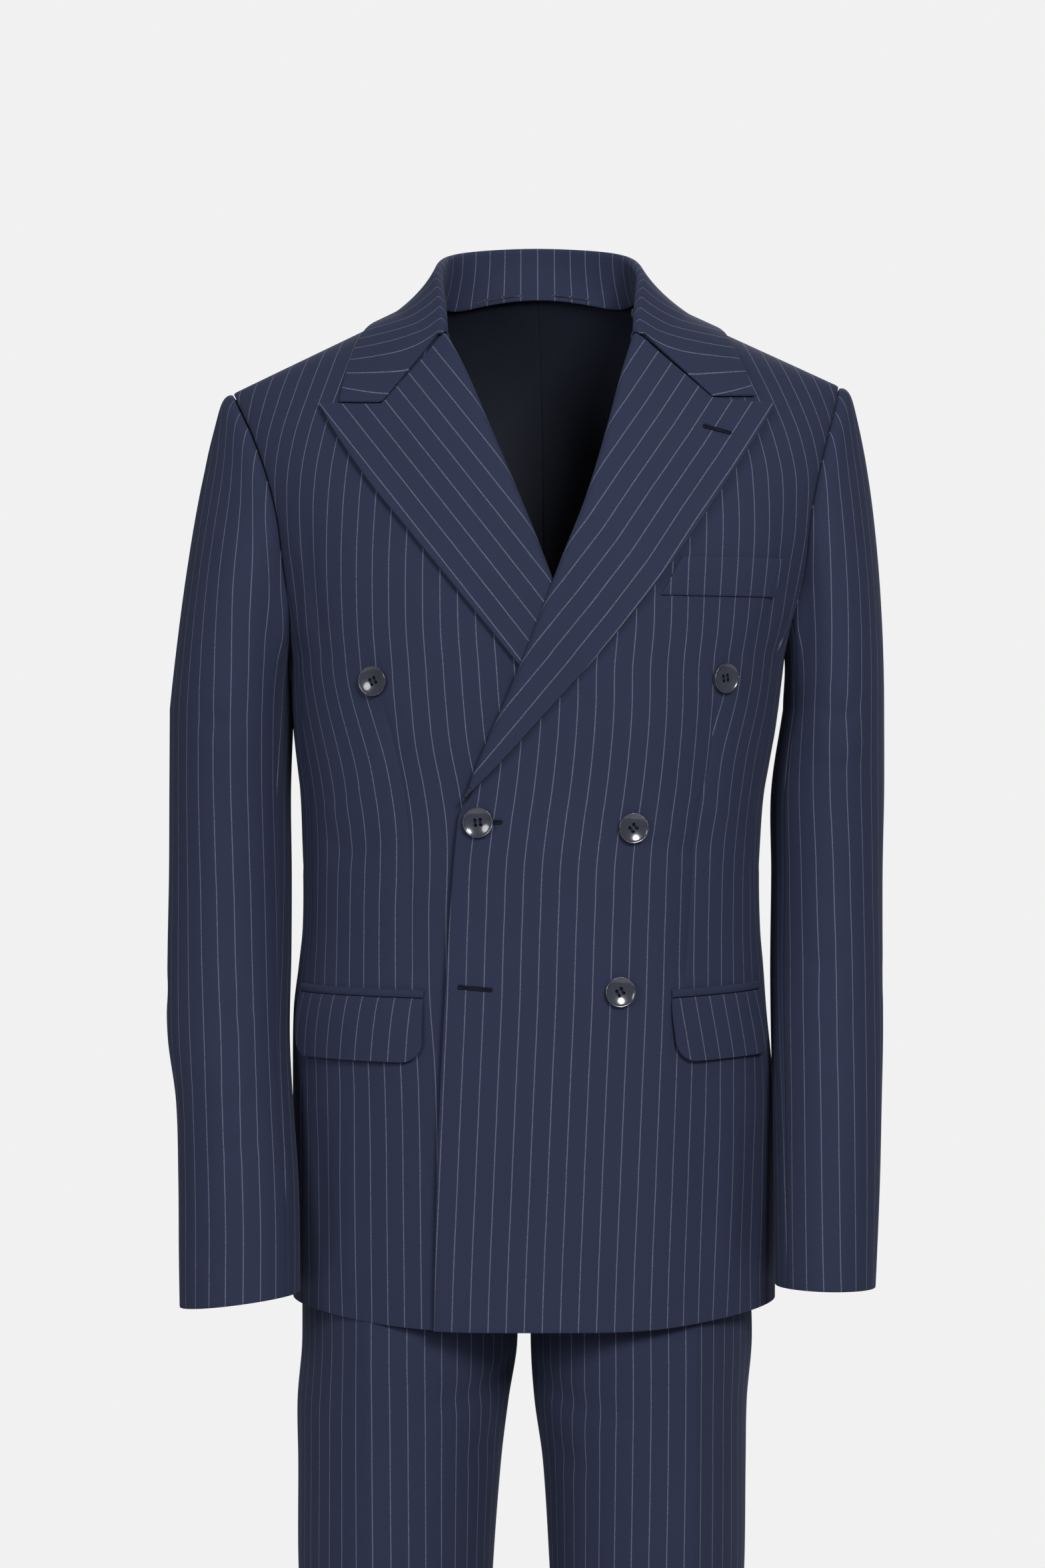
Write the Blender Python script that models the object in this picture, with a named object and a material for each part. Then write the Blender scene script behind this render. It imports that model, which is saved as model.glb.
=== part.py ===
"""Two-piece suit in its worn shape: a double-breasted jacket and matching trousers.

Metres, +Z up. The wearer faces -Y, so the wearer's left is +X. The origin lies in the
middle of the neck opening, level with the inner ends of the shoulder seams.

Every cloth piece is a wall. Its outer face is a grid of points on a surface that is
worked out from section tables, and its inner face is the same grid moved inward.
Angles round the body start at the centre front and turn towards the wearer's left.
"""

import math
from typing import NamedTuple

import bmesh
import bpy
from mathutils import Vector

# ---------------------------------------------------------------- cloth and seams
CLOTH = 0.0020            # wall of the body, sleeves and legs
TRIM = 0.0016             # wall of jets, welt, flaps and fly
SEAM = 0.0004             # open seam between neighbouring pieces
LAP_RISE = 0.0062         # how far the overlapping front stands off the body surface
LAP_SIDE = (0.130, 0.055)     # where the lap's rise starts sideways, and its run
LAP_TOP = (-0.115, 0.100)     # where it starts downwards, and its run
LAPEL_CLEARANCE = 0.0003      # extra gap under the lapels, which curve with the chest
COLLAR_CLEARANCE = 0.0006     # extra gap under the collar, which curves more

# ---------------------------------------------------------------- body of the jacket
HEM_Z = -0.745
ARMPIT_Z = -0.262
RIDGE_Z = 0.0384          # height where the two shoulder lines would meet
SHOULDER_SLOPE = 0.466    # fall of the shoulder line for each metre sideways
SHOULDER_TILT = 0.012     # the wearer's left shoulder is this much less sloped
RIDGE_Y = 0.010           # shoulder seam, behind the middle of the body
SECTION_POWER = 2.4       # 2 is an ellipse, more is squarer
NECK_HALF_WIDTH = 0.0775
HEM_RISE = 0.86           # the hem rises with the square of its distance past HEM_FLAT
HEM_FLAT = 0.045
HEM_RISE_TOP = -0.62      # the rise fades out at this height
HEM_RISE_RUN = 0.125
EDGE_STEPS = 12           # rounds that settle the height of a front's edge over the chest
NAPE_LEVEL = 0.9415       # the back neck curve leaves the centre seam here
NAPE_HALF_WIDTH = 0.050   # the shoulder line is rounded off this near the centre


class Pair(NamedTuple):
    """Key and value of a short table."""
    key: float
    value: float


class BodyRow(NamedTuple):
    """Level section of the jacket's outer face."""
    height: float
    centre: float
    half_width: float
    front: float
    back: float


class YokeRow(NamedTuple):
    """Section above the armpit: 0 is armpit level, 1 is the shoulder seam."""
    level: float
    half_width: float
    front_angle: float
    back_angle: float
    centre: float


class EdgeRow(NamedTuple):
    """Free edge, roll line and neck edge of one front, seen from the front."""
    height: float
    across: float


class LapelRow(NamedTuple):
    """One line across a lapel, from the roll line to its outer edge."""
    station: float
    roll_x: float
    roll_z: float
    edge_x: float
    edge_z: float


class CollarRow(NamedTuple):
    """One line across the collar; the edge angle turns over the shoulder to the back."""
    station: float
    fold_x: float
    fold_y: float
    fold_z: float
    edge_x: float
    edge_angle: float
    seam_x: float
    seam_angle: float


class SleeveRow(NamedTuple):
    """Level section of a sleeve below the armhole."""
    height: float
    centre_x: float
    half_width: float
    centre_y: float
    half_depth: float
    outer_drop: float


class TrouserRow(NamedTuple):
    """Section of the trousers at the hips, from the middle of the trousers."""
    height: float
    half_width: float
    front: float
    back: float


class LegRow(NamedTuple):
    """Level section of one trouser leg."""
    height: float
    centre_x: float
    half_width: float
    front: float
    back: float


class FlapSpec(NamedTuple):
    """Hip pocket: inner end of the jet, and where its outer end lies round the body."""
    side: int
    inner_x: float
    inner_z: float
    outer_angle: float
    outer_rise: float


class ButtonSpec(NamedTuple):
    """Front button, by its place seen from the front."""
    name: str
    x: float
    z: float


BODY_ROWS = (
    BodyRow(-0.745, -0.0015, 0.1765, 0.1210, 0.1370),
    BodyRow(-0.660, -0.0015, 0.1768, 0.1215, 0.1390),
    BodyRow(-0.580, -0.0020, 0.1763, 0.1220, 0.1360),
    BodyRow(-0.520, -0.0045, 0.1732, 0.1220, 0.1300),
    BodyRow(-0.488, -0.0038, 0.1702, 0.1215, 0.1255),
    BodyRow(-0.460, -0.0035, 0.1676, 0.1210, 0.1220),
    BodyRow(-0.415, -0.0037, 0.1671, 0.1210, 0.1200),
    BodyRow(-0.370, -0.0031, 0.1690, 0.1225, 0.1210),
    BodyRow(-0.320, -0.0015, 0.1762, 0.1260, 0.1280),
    BodyRow(-0.262, 0.0010, 0.1810, 0.1290, 0.1360),
)
YOKE_ROWS = (
    YokeRow(0.00, 0.1810, 71.0, 109.5, 0.0010),
    YokeRow(0.24, 0.1960, 71.0, 109.5, 0.0055),
    YokeRow(0.50, 0.2090, 66.5, 114.0, 0.0052),
    YokeRow(0.80, 0.2225, 69.0, 111.5, 0.0030),
    YokeRow(1.00, 0.2260, 79.0, 101.0, 0.0000),
)
ARMHOLE_LEVEL = 0.24      # the armhole curve leaves the side panel here

OVER_EDGE = (
    EdgeRow(-0.745, -0.0720),
    EdgeRow(-0.606, -0.0690),
    EdgeRow(-0.467, -0.0620),
    EdgeRow(-0.383, -0.0555),
    EdgeRow(-0.362, -0.0500),
    EdgeRow(-0.329, -0.0370),
    EdgeRow(-0.290, -0.0200),
    EdgeRow(-0.245, -0.0020),
    EdgeRow(-0.209, 0.0115),
    EdgeRow(-0.160, 0.0315),
    EdgeRow(-0.104, 0.0490),
    EdgeRow(-0.058, 0.0610),
    EdgeRow(-0.028, 0.0700),
    EdgeRow(0.0023, 0.0775),
)
UNDER_EDGE = (
    EdgeRow(-0.745, 0.0550),
    EdgeRow(-0.500, 0.0630),
    EdgeRow(-0.370, 0.0670),
    EdgeRow(-0.344, 0.0640),
    EdgeRow(-0.300, 0.0470),
    EdgeRow(-0.209, 0.0110),
    EdgeRow(-0.1295, -0.0203),
    EdgeRow(-0.062, -0.0480),
    EdgeRow(-0.028, -0.0640),
    EdgeRow(0.0023, -0.0775),
)

OVER_LAPEL = (
    LapelRow(0.000, -0.0500, -0.3625, -0.0525, -0.3662),
    LapelRow(0.100, -0.0370, -0.3290, -0.0310, -0.3450),
    LapelRow(0.220, -0.0200, -0.2900, 0.0050, -0.3055),
    LapelRow(0.350, -0.0020, -0.2450, 0.0394, -0.2665),
    LapelRow(0.490, 0.0170, -0.1960, 0.0716, -0.2275),
    LapelRow(0.630, 0.0350, -0.1500, 0.1040, -0.1850),
    LapelRow(0.760, 0.0490, -0.1040, 0.1362, -0.1370),
    LapelRow(0.890, 0.0600, -0.0620, 0.1600, -0.1002),
    LapelRow(1.000, 0.0695, -0.0300, 0.1710, -0.0812),
)
OVER_NOTCH = (0.1257, -0.0772)
UNDER_LAPEL = (
    LapelRow(0.000, 0.0645, -0.3460, 0.0600, -0.3510),
    LapelRow(0.100, 0.0540, -0.3180, 0.0350, -0.3270),
    LapelRow(0.220, 0.0360, -0.2720, 0.0054, -0.2920),
    LapelRow(0.350, 0.0180, -0.2260, -0.0207, -0.2600),
    LapelRow(0.490, -0.0010, -0.1760, -0.0601, -0.2115),
    LapelRow(0.630, -0.0190, -0.1320, -0.0914, -0.1730),
    LapelRow(0.760, -0.0345, -0.0950, -0.1191, -0.1385),
    LapelRow(0.890, -0.0490, -0.0600, -0.1427, -0.1040),
    LapelRow(1.000, -0.0635, -0.0300, -0.1557, -0.0812),
)
UNDER_NOTCH = (-0.1105, -0.0822)
NOTCH_REACH = 0.45        # share of the lapel's length over which the notch bend fades

COLLAR_ROWS = (
    CollarRow(0.00, -0.0640, -0.0660, -0.0270, -0.1415, 51.3, -0.0640, 58.0),
    CollarRow(0.13, -0.0690, -0.0360, 0.0010, -0.1320, 70.0, -0.0735, 74.0),
    CollarRow(0.25, -0.0715, 0.0030, 0.0245, -0.1155, 90.0, -0.0770, 91.0),
    CollarRow(0.38, -0.0570, 0.0450, 0.0385, -0.0800, 106.5, -0.0600, 105.6),
    CollarRow(0.50, 0.0000, 0.0740, 0.0450, 0.0000, 114.5, 0.0000, 109.7),
    CollarRow(0.62, 0.0590, 0.0450, 0.0385, 0.0840, 106.5, 0.0600, 105.6),
    CollarRow(0.75, 0.0760, 0.0030, 0.0235, 0.1290, 90.0, 0.0770, 91.0),
    CollarRow(0.87, 0.0745, -0.0360, 0.0010, 0.1450, 70.0, 0.0740, 74.0),
    CollarRow(1.00, 0.0700, -0.0660, -0.0270, 0.1572, 54.5, 0.0700, 58.0),
)

COLLAR_CROWN = 0.34       # where the fall's middle lies between its fold and its edge
COLLAR_SAG = (            # station, how far the fall sags below the straight line
    (0.00, 0.0), (0.12, 0.004), (0.25, 0.009), (0.38, 0.005), (0.50, 0.002),
    (0.62, 0.005), (0.75, 0.009), (0.88, 0.004), (1.00, 0.0),
)
NOTCH_GAP = 0.0026        # the fall's end line passes this far above each lapel's notch
COLLAR_END_REACH = 0.13   # over this share the fall comes down flush with the lapel
COLLAR_BEND_REACH = 0.16  # over this share its end line takes the notch's bend
STAND_END = 0.05          # the stand stops this far short of the gorge
STAND_DROP = 0.0040       # the stand's upper edge, below and inside the fold

# ---------------------------------------------------------------- sleeves
SLEEVE_TOP_Z = -0.300
CUFF_Z = {1: -0.7160, -1: -0.7255}
FRONT_SEAM_ANGLE = 145.0  # round the sleeve from its outer side, through its front
BACK_SEAM_ANGLE = 235.0
SLEEVE_RADIUS = 0.045     # mean radius, which turns the open seam into an angle
SHOULDER_REACH = {1: 0.0165, -1: 0.0150}  # how far the outer side leaves the seam sideways
CAP_LEAN = {1: 0.0, -1: 0.0120}           # how far it leans in above the upper arm
CAP_REACH = 0.0070        # the same sideways leave, at the front and back of the armhole
CAP_UNDER = 0.0050        # how much less it is under the arm
CAP_FORWARD = 0.0080
CAP_DROP = (0.0040, 0.0060)
CAP_RISE = (0.0675, 0.0525)
SLEEVE_OFFSET = 0.0006    # the sleeve's seam lies this far inside and beside the armhole's
SLEEVE_ROWS = {
    1: (
        SleeveRow(-0.7255, 0.2075, 0.0358, -0.078, 0.048, 0.0010),
        SleeveRow(-0.6990, 0.2084, 0.0366, -0.073, 0.049, 0.0005),
        SleeveRow(-0.6410, 0.2098, 0.0383, -0.062, 0.051, 0.0),
        SleeveRow(-0.5840, 0.2108, 0.0395, -0.048, 0.054, 0.0),
        SleeveRow(-0.5370, 0.2118, 0.0408, -0.028, 0.057, 0.0),
        SleeveRow(-0.4880, 0.2124, 0.0411, -0.010, 0.059, 0.0),
        SleeveRow(-0.4200, 0.2133, 0.0408, 0.000, 0.062, 0.0),
        SleeveRow(-0.3600, 0.2140, 0.0414, 0.003, 0.066, 0.0),
        SleeveRow(-0.3000, 0.2184, 0.0370, 0.004, 0.070, 0.0),
    ),
    -1: (
        SleeveRow(-0.7255, -0.2133, 0.0433, -0.078, 0.046, 0.0055),
        SleeveRow(-0.6900, -0.2140, 0.0436, -0.071, 0.047, 0.0030),
        SleeveRow(-0.6410, -0.2152, 0.0434, -0.061, 0.049, 0.0),
        SleeveRow(-0.5840, -0.2188, 0.0424, -0.047, 0.052, 0.0),
        SleeveRow(-0.5370, -0.2240, 0.0445, -0.029, 0.055, 0.0),
        SleeveRow(-0.4800, -0.2245, 0.0453, -0.009, 0.058, 0.0),
        SleeveRow(-0.4200, -0.2243, 0.0450, 0.000, 0.062, 0.0),
        SleeveRow(-0.3600, -0.2246, 0.0446, 0.003, 0.066, 0.0),
        SleeveRow(-0.3000, -0.2234, 0.0455, 0.004, 0.070, 0.0),
    ),
}

# ---------------------------------------------------------------- trousers
TROUSER_CENTRE = -0.0095
WAIST_SEAM_Z = -0.5250
WAISTBAND_TOP_Z = -0.4850
CROTCH_Z = -0.7600
TROUSER_HEM_Z = -1.5450
FRONT_RISE_Z = -0.6600    # above this the front seam runs straight up
BACK_RISE_Z = -0.6300
HIP_ROWS = (
    TrouserRow(-0.760, 0.1640, 0.106, 0.122),
    TrouserRow(-0.700, 0.1610, 0.109, 0.128),
    TrouserRow(-0.620, 0.1590, 0.110, 0.125),
    TrouserRow(-0.560, 0.1540, 0.109, 0.112),
    TrouserRow(-0.485, 0.1490, 0.107, 0.105),
)
LEG_ROWS = {
    1: (
        LegRow(-1.545, 0.0930, 0.0500, 0.050, 0.085),
        LegRow(-1.300, 0.0920, 0.0560, 0.060, 0.082),
        LegRow(-1.120, 0.0915, 0.0620, 0.072, 0.082),
        LegRow(-0.930, 0.0907, 0.0714, 0.088, 0.098),
        LegRow(-0.850, 0.0887, 0.0745, 0.094, 0.108),
        LegRow(-0.805, 0.0860, 0.0780, 0.098, 0.116),
        LegRow(-0.760, 0.0865, 0.0812, 0.104, 0.116),
        LegRow(-0.485, 0.0865, 0.0812, 0.104, 0.116),
    ),
    -1: (
        LegRow(-1.545, -0.0950, 0.0500, 0.050, 0.085),
        LegRow(-1.300, -0.0945, 0.0560, 0.060, 0.082),
        LegRow(-1.120, -0.0940, 0.0620, 0.072, 0.082),
        LegRow(-0.930, -0.0934, 0.0713, 0.088, 0.098),
        LegRow(-0.850, -0.0905, 0.0745, 0.094, 0.108),
        LegRow(-0.805, -0.0880, 0.0775, 0.098, 0.116),
        LegRow(-0.760, -0.0830, 0.0790, 0.104, 0.116),
        LegRow(-0.485, -0.0830, 0.0790, 0.104, 0.116),
    ),
}
FLY_WIDTH = 0.036
FLY_BOTTOM_Z = -0.655
FLY_RUN_OUT = (0.02, 0.05)    # the lap's lower end runs out over these lengths
FLY_START = -0.01             # angle past the centre front
PANEL_START = 0.0015          # the front panel stops this share short of the outer seam
CENTRE_GAP = 0.0003           # half the gap of the centre seams
WAISTBAND_GAP = 0.002         # angle left open at each end of the waistband
WAIST_BUTTON_ANGLE = 0.10

# ---------------------------------------------------------------- pockets
WELT_TOP = ((0.1030, -0.1930), (0.1775, -0.1930))
WELT_BOTTOM = ((0.0870, -0.2209), (0.1700, -0.2206))
JET_HEIGHT = 0.0055
FLAP_HEIGHT = 0.0460
FLAP_CORNER = 0.0160
FLAP_STAND_OFF = 0.0022
HIP_POCKETS = (
    FlapSpec(1, 0.0945, -0.5020, 72.0, 0.0045),
    FlapSpec(-1, -0.0800, -0.5020, -72.0, 0.0025),
)

# ---------------------------------------------------------------- buttons
BUTTON_RADIUS = 0.0108
BUTTON_HEIGHT = 0.0036
BUTTON_SEAT = 0.82        # radius at the cloth, as a share of the button's radius
BUTTON_BULGE = 0.45       # height of the widest ring, as a share of the button's height
BUTTON_RIM = 0.94         # radius of the rim's crest
BUTTON_BOWL = 0.72        # radius of the bowl inside the rim
BUTTON_DISH = 0.35        # depth of the bowl, as a share of the button's height
CUFF_BUTTON_RADIUS = 0.0074
CUFF_BUTTON_HEIGHT = 0.0030
CUFF_BUTTON_STEP = 0.0165
CUFF_BUTTON_LOWEST = -0.6960
CUFF_BUTTON_ANGLE = 312.0
CUFF_BUTTON_COUNT = 4
HIDDEN_BUTTON_HEIGHT = 0.0022
HIDDEN_BUTTON_DISH = 0.20
FRONT_BUTTONS = (
    ButtonSpec("button_upper_left", 0.1343, -0.2790),
    ButtonSpec("button_upper_right", -0.1160, -0.2815),
    ButtonSpec("button_middle_left", 0.0670, -0.3860),
    ButtonSpec("button_middle_right", -0.0410, -0.3820),
    ButtonSpec("button_lower_left", 0.0580, -0.5030),
)
HIDDEN_BUTTON = ButtonSpec("button_lower_right", -0.0440, -0.5000)

# ---------------------------------------------------------------- how fine the grids are
FRONT_COLUMNS = 10
BACK_COLUMNS = 7
SIDE_COLUMNS = 7
BODY_ROW_COUNT = 13
YOKE_ROW_COUNT = 8
LAPEL_SHAPE = (22, 7)
COLLAR_SHAPE = (28, 7)
STAND_COLUMNS = 3
WELT_SHAPE = (4, 8)
JET_SHAPE = (2, 10)
FLAP_SHAPE = (6, 15)
WAISTBAND_SHAPE = (3, 33)
FLY_SHAPE = (8, 4)
ARMHOLE_STEPS = 40
BUTTON_SIDES = 14
CUFF_BUTTON_SIDES = 10
SLEEVE_CAP_ROWS = 7
SLEEVE_LENGTH_ROWS = 10
TOP_SLEEVE_COLUMNS = 13
UNDER_SLEEVE_COLUMNS = 5
LEG_ROW_COUNT = 9
HIP_ROW_COUNT = 7
LEG_COLUMNS = 7
ANGLE_STEPS = 8           # steps for each column when angles are spaced along a section
SURFACE_STEP = 0.004      # step along both parameters that gives a surface's normal
SMOOTH_ANGLE = 40.0       # edges that bend more than this stay sharp

# name: base colour, roughness
FINISHES = {
    "navy_cloth": ((0.020, 0.026, 0.055, 1.0), 0.88),
    "button_horn": ((0.018, 0.022, 0.036, 1.0), 0.28),
}


# ================================================================ tables and curves
def smooth_row(rows, key):
    """Row of a table at a key among its first-column values, on cubics through the rows."""
    last = len(rows) - 1
    key = min(max(key, rows[0][0]), rows[last][0])
    low = max(i for i in range(last) if rows[i][0] <= key)
    before, start, end, after = (rows[min(max(low + step, 0), last)] for step in (-1, 0, 1, 2))
    span = end[0] - start[0]
    share = (key - start[0]) / span
    values = []
    for left, first, second, right in zip(before, start, end, after):
        leave = (second - left) / (end[0] - before[0]) * span
        arrive = (right - first) / (after[0] - start[0]) * span
        bend = 2 * first - 2 * second + leave + arrive
        turn = 3 * second - 3 * first - 2 * leave - arrive
        values.append(((bend * share + turn) * share + leave) * share + first)
    return type(start)(*values)


def smooth_values(pairs, key):
    """Second value at a key among pairs."""
    return smooth_row([Pair(*pair) for pair in pairs], key).value


def blend(start, end, share):
    """Value or vector between two others."""
    return start + (end - start) * share


def ease(value):
    """Smooth step from 0 to 1."""
    value = min(max(value, 0.0), 1.0)
    return value * value * (3 - 2 * value)


def spread(start, end, count):
    """Evenly spaced values, both ends included."""
    return [blend(start, end, index / (count - 1)) for index in range(count)]


def bezier(first, second, third, fourth, share):
    """Point on a cubic Bezier curve."""
    rest = 1 - share
    return (first * rest ** 3 + second * 3 * rest ** 2 * share
            + third * 3 * rest * share ** 2 + fourth * share ** 3)


def sample(surface, u, v, facing=1):
    """Point of a surface and its unit normal, from small steps along both parameters."""
    along = surface(u + SURFACE_STEP, v) - surface(u - SURFACE_STEP, v)
    upward = surface(u, v + SURFACE_STEP) - surface(u, v - SURFACE_STEP)
    return surface(u, v), along.cross(upward).normalized() * facing


def body_sample(angle, level):
    """Point and normal of the body; along the shoulder seam both panels share the normal."""
    point, normal = sample(body_point, angle, level)
    if level >= 1:
        lean = math.copysign(SHOULDER_SLOPE, point.x) - SHOULDER_TILT
        normal = Vector((lean, 0, 1)).normalized()
    return point, normal


def lifted(pair, distance):
    """Point and normal, with the point moved along the normal."""
    point, normal = pair
    return point + normal * distance, normal


# ================================================================ body surface
def shoulder_height(x):
    """Height of the shoulder line at a distance from the centre, rounded off there."""
    aside = abs(x)
    if aside < NAPE_HALF_WIDTH:
        aside = (aside * aside + NAPE_HALF_WIDTH * NAPE_HALF_WIDTH) / (2 * NAPE_HALF_WIDTH)
    return RIDGE_Z - SHOULDER_SLOPE * aside + SHOULDER_TILT * x


def body_point(angle, level):
    """Outer face of the jacket body.

    The angle is in radians. The level runs from -1 at the hem through 0 at the armpit
    to 1 at the shoulder seam.
    """
    level = min(level, 1.0)
    sine, cosine = math.sin(angle), math.cos(angle)
    across = math.copysign(abs(sine) ** (2 / SECTION_POWER), sine)
    depth = abs(cosine) ** (2 / SECTION_POWER)
    height = ARMPIT_Z + min(level, 0.0) * (ARMPIT_Z - HEM_Z)
    row = smooth_row(BODY_ROWS, height)
    y = -row.front * depth if cosine > 0 else row.back * depth
    if level <= 0:
        x = row.centre + row.half_width * across
        rise = HEM_RISE * max(abs(x) - HEM_FLAT, 0.0) ** 2
        return Vector((x, y, height + rise * ease((HEM_RISE_TOP - height) / HEM_RISE_RUN)))
    yoke = smooth_row(YOKE_ROWS, level)
    x = yoke.centre + yoke.half_width * across
    y = blend(RIDGE_Y, y, math.sqrt(1 - level * level))
    return Vector((x, y, blend(ARMPIT_Z, shoulder_height(x), level)))


def place_of(x, z):
    """Angle and level of a point of the body's front, from its front view."""
    if z <= ARMPIT_Z:
        row = smooth_row(BODY_ROWS, z)
        level = (z - ARMPIT_Z) / (ARMPIT_Z - HEM_Z)
        share = (x - row.centre) / row.half_width
    else:
        level = min((z - ARMPIT_Z) / (shoulder_height(x) - ARMPIT_Z), 1.0)
        yoke = smooth_row(YOKE_ROWS, level)
        share = (x - yoke.centre) / yoke.half_width
    share = min(max(share, -1.0), 1.0)
    return math.copysign(math.asin(abs(share) ** (SECTION_POWER / 2)), share), level


def lap_rise(point):
    """How far the overlapping front stands off the body surface at a point."""
    sideways = ease((LAP_SIDE[0] - point.x) / LAP_SIDE[1])
    upward = ease((LAP_TOP[0] - point.z) / LAP_TOP[1])
    return LAP_RISE * sideways * upward


def on_front(x, z, lift, over=False):
    """Point above the front at a place in its front view, with the surface normal."""
    angle, level = place_of(x, z)
    return on_round(angle, level, lift, over)


def on_round(angle, level, lift, over=False):
    """Point above the body at an angle and level, with the surface normal."""
    point, normal = body_sample(angle, level)
    if over:
        lift += lap_rise(point)
    return point + normal * lift, normal


def edge_angle(rows, level):
    """Angle of a front's free edge at a level."""
    if level <= 0:
        height = ARMPIT_Z + level * (ARMPIT_Z - HEM_Z)
        return place_of(smooth_row(rows, height).across, height)[0]
    x = 0.0
    for _ in range(EDGE_STEPS):
        x = smooth_row(rows, blend(ARMPIT_Z, shoulder_height(x), level)).across
    yoke = smooth_row(YOKE_ROWS, level)
    share = (x - yoke.centre) / yoke.half_width
    return math.copysign(math.asin(abs(share) ** (SECTION_POWER / 2)), share)


def even_angles(start, end, level, count):
    """Angles that are evenly spaced along the body's section at a level."""
    fine = spread(start, end, ANGLE_STEPS * count)
    points = [body_point(angle, level) for angle in fine]
    lengths = [0.0]
    for first, second in zip(points, points[1:]):
        lengths.append(lengths[-1] + (second - first).length)
    angles = []
    index = 0
    for wanted in spread(0.0, lengths[-1], count):
        while index < len(lengths) - 2 and lengths[index + 1] < wanted:
            index += 1
        span = lengths[index + 1] - lengths[index]
        angles.append(blend(fine[index], fine[index + 1], (wanted - lengths[index]) / span))
    return angles


def panel_levels():
    """Levels of a body panel's rows: even below the armpit, even round the shoulder above."""
    lower = spread(-1.0, 0.0, BODY_ROW_COUNT)
    upper = [math.sin(turn) for turn in spread(0.0, math.pi / 2, YOKE_ROW_COUNT + 1)]
    return lower + upper[1:]


def outer_angle(level, side, facing_back):
    """Angle of a front or back panel's outer edge: the side seam, then the armhole."""
    row = smooth_row(YOKE_ROWS, max(level, ARMHOLE_LEVEL))
    degrees = row.back_angle if facing_back else row.front_angle
    return side * math.radians(degrees)


def armhole_level(angle):
    """Level of the armhole's lower curve, across the top of the side panel."""
    low = YOKE_ROWS[0]
    half = low.front_angle if angle < 90 else low.back_angle
    share = min(abs((90 - angle) / (90 - half)), 1.0)
    return ARMHOLE_LEVEL * (1 - math.sqrt(1 - share * share))


def neck_angle(level, side):
    """Angle of a back panel's inner edge: the centre seam, then the neck curve."""
    if level <= NAPE_LEVEL:
        return math.pi
    drop = (1 - level) / (1 - NAPE_LEVEL)
    yoke = smooth_row(YOKE_ROWS, level)
    reach = NECK_HALF_WIDTH * math.sqrt(1 - drop * drop) - side * yoke.centre
    share = max(reach / yoke.half_width, 0.0)
    return math.pi - math.asin(share ** (SECTION_POWER / 2))


# ================================================================ mesh building
def finish_object(name, mesh_data, finish):
    """Link a mesh as a named object with its own material."""
    mesh = bpy.data.meshes.new(name)
    mesh_data.to_mesh(mesh)
    mesh_data.free()
    mesh.shade_smooth()
    mesh.set_sharp_from_angle(angle=math.radians(SMOOTH_ANGLE))
    colour, roughness = FINISHES[finish]
    material = bpy.data.materials.new(f"{name}_{finish}")
    material.use_nodes = True
    shader = material.node_tree.nodes["Principled BSDF"]
    shader.inputs["Base Color"].default_value = colour
    shader.inputs["Roughness"].default_value = roughness
    shader.inputs["Metallic"].default_value = 0.0
    mesh.materials.append(material)
    thing = bpy.data.objects.new(name, mesh)
    bpy.context.scene.collection.objects.link(thing)
    return thing


def build_wall(name, rows, thickness):
    """Closed wall from rows of (outer point, outward normal) pairs."""
    mesh_data = bmesh.new()
    outer = [[mesh_data.verts.new(point) for point, _ in row] for row in rows]
    inner = [[mesh_data.verts.new(point - normal * thickness) for point, normal in row]
             for row in rows]
    last_row, last_column = len(rows) - 1, len(rows[0]) - 1
    for i in range(last_row):
        for j in range(last_column):
            near = (outer[i][j], outer[i][j + 1], outer[i + 1][j + 1], outer[i + 1][j])
            far = (inner[i][j], inner[i + 1][j], inner[i + 1][j + 1], inner[i][j + 1])
            mesh_data.faces.new(near)
            mesh_data.faces.new(far)
    rim = [(0, j) for j in range(last_column)]
    rim += [(i, last_column) for i in range(last_row)]
    rim += [(last_row, j) for j in range(last_column, 0, -1)]
    rim += [(i, 0) for i in range(last_row, 0, -1)]
    for (i, j), (k, m) in zip(rim, rim[1:] + rim[:1]):
        mesh_data.faces.new((outer[i][j], inner[i][j], inner[k][m], outer[k][m]))
    bmesh.ops.recalc_face_normals(mesh_data, faces=mesh_data.faces)
    return finish_object(name, mesh_data, "navy_cloth")


def build_button(name, pair, radius, height, segments=BUTTON_SIDES, dish=BUTTON_DISH):
    """Round button with a raised rim, turned about the cloth's normal at its place."""
    point, normal = pair
    profile = (
        (radius * BUTTON_SEAT, 0.0),
        (radius, height * BUTTON_BULGE),
        (radius * BUTTON_RIM, height),
        (radius * BUTTON_BOWL, height * (1 - dish)),
    )
    side = normal.cross(Vector((0, 0, 1))).normalized()
    up = side.cross(normal)
    mesh_data = bmesh.new()
    rings = []
    for ring_radius, rise in profile:
        ring = []
        for index in range(segments):
            turn = 2 * math.pi * index / segments
            spoke = side * math.cos(turn) + up * math.sin(turn)
            ring.append(mesh_data.verts.new(point + spoke * ring_radius + normal * rise))
        rings.append(ring)
    mesh_data.faces.new(rings[0])
    mesh_data.faces.new(rings[-1])
    for lower, upper in zip(rings, rings[1:]):
        for index in range(segments):
            after = (index + 1) % segments
            mesh_data.faces.new((lower[index], lower[after], upper[after], upper[index]))
    bmesh.ops.recalc_face_normals(mesh_data, faces=mesh_data.faces)
    return finish_object(name, mesh_data, "button_horn")


# ================================================================ jacket body
def build_front(name, side, edge_rows, over):
    """Forepart from its free edge, roll line and neck edge to the side seam and armhole."""
    rows = []
    for level in panel_levels():
        angles = even_angles(edge_angle(edge_rows, level), outer_angle(level, side, False),
                             level, FRONT_COLUMNS)
        rows.append([on_round(angle, level, 0.0, over) for angle in angles])
    build_wall(name, rows, CLOTH)


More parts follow.
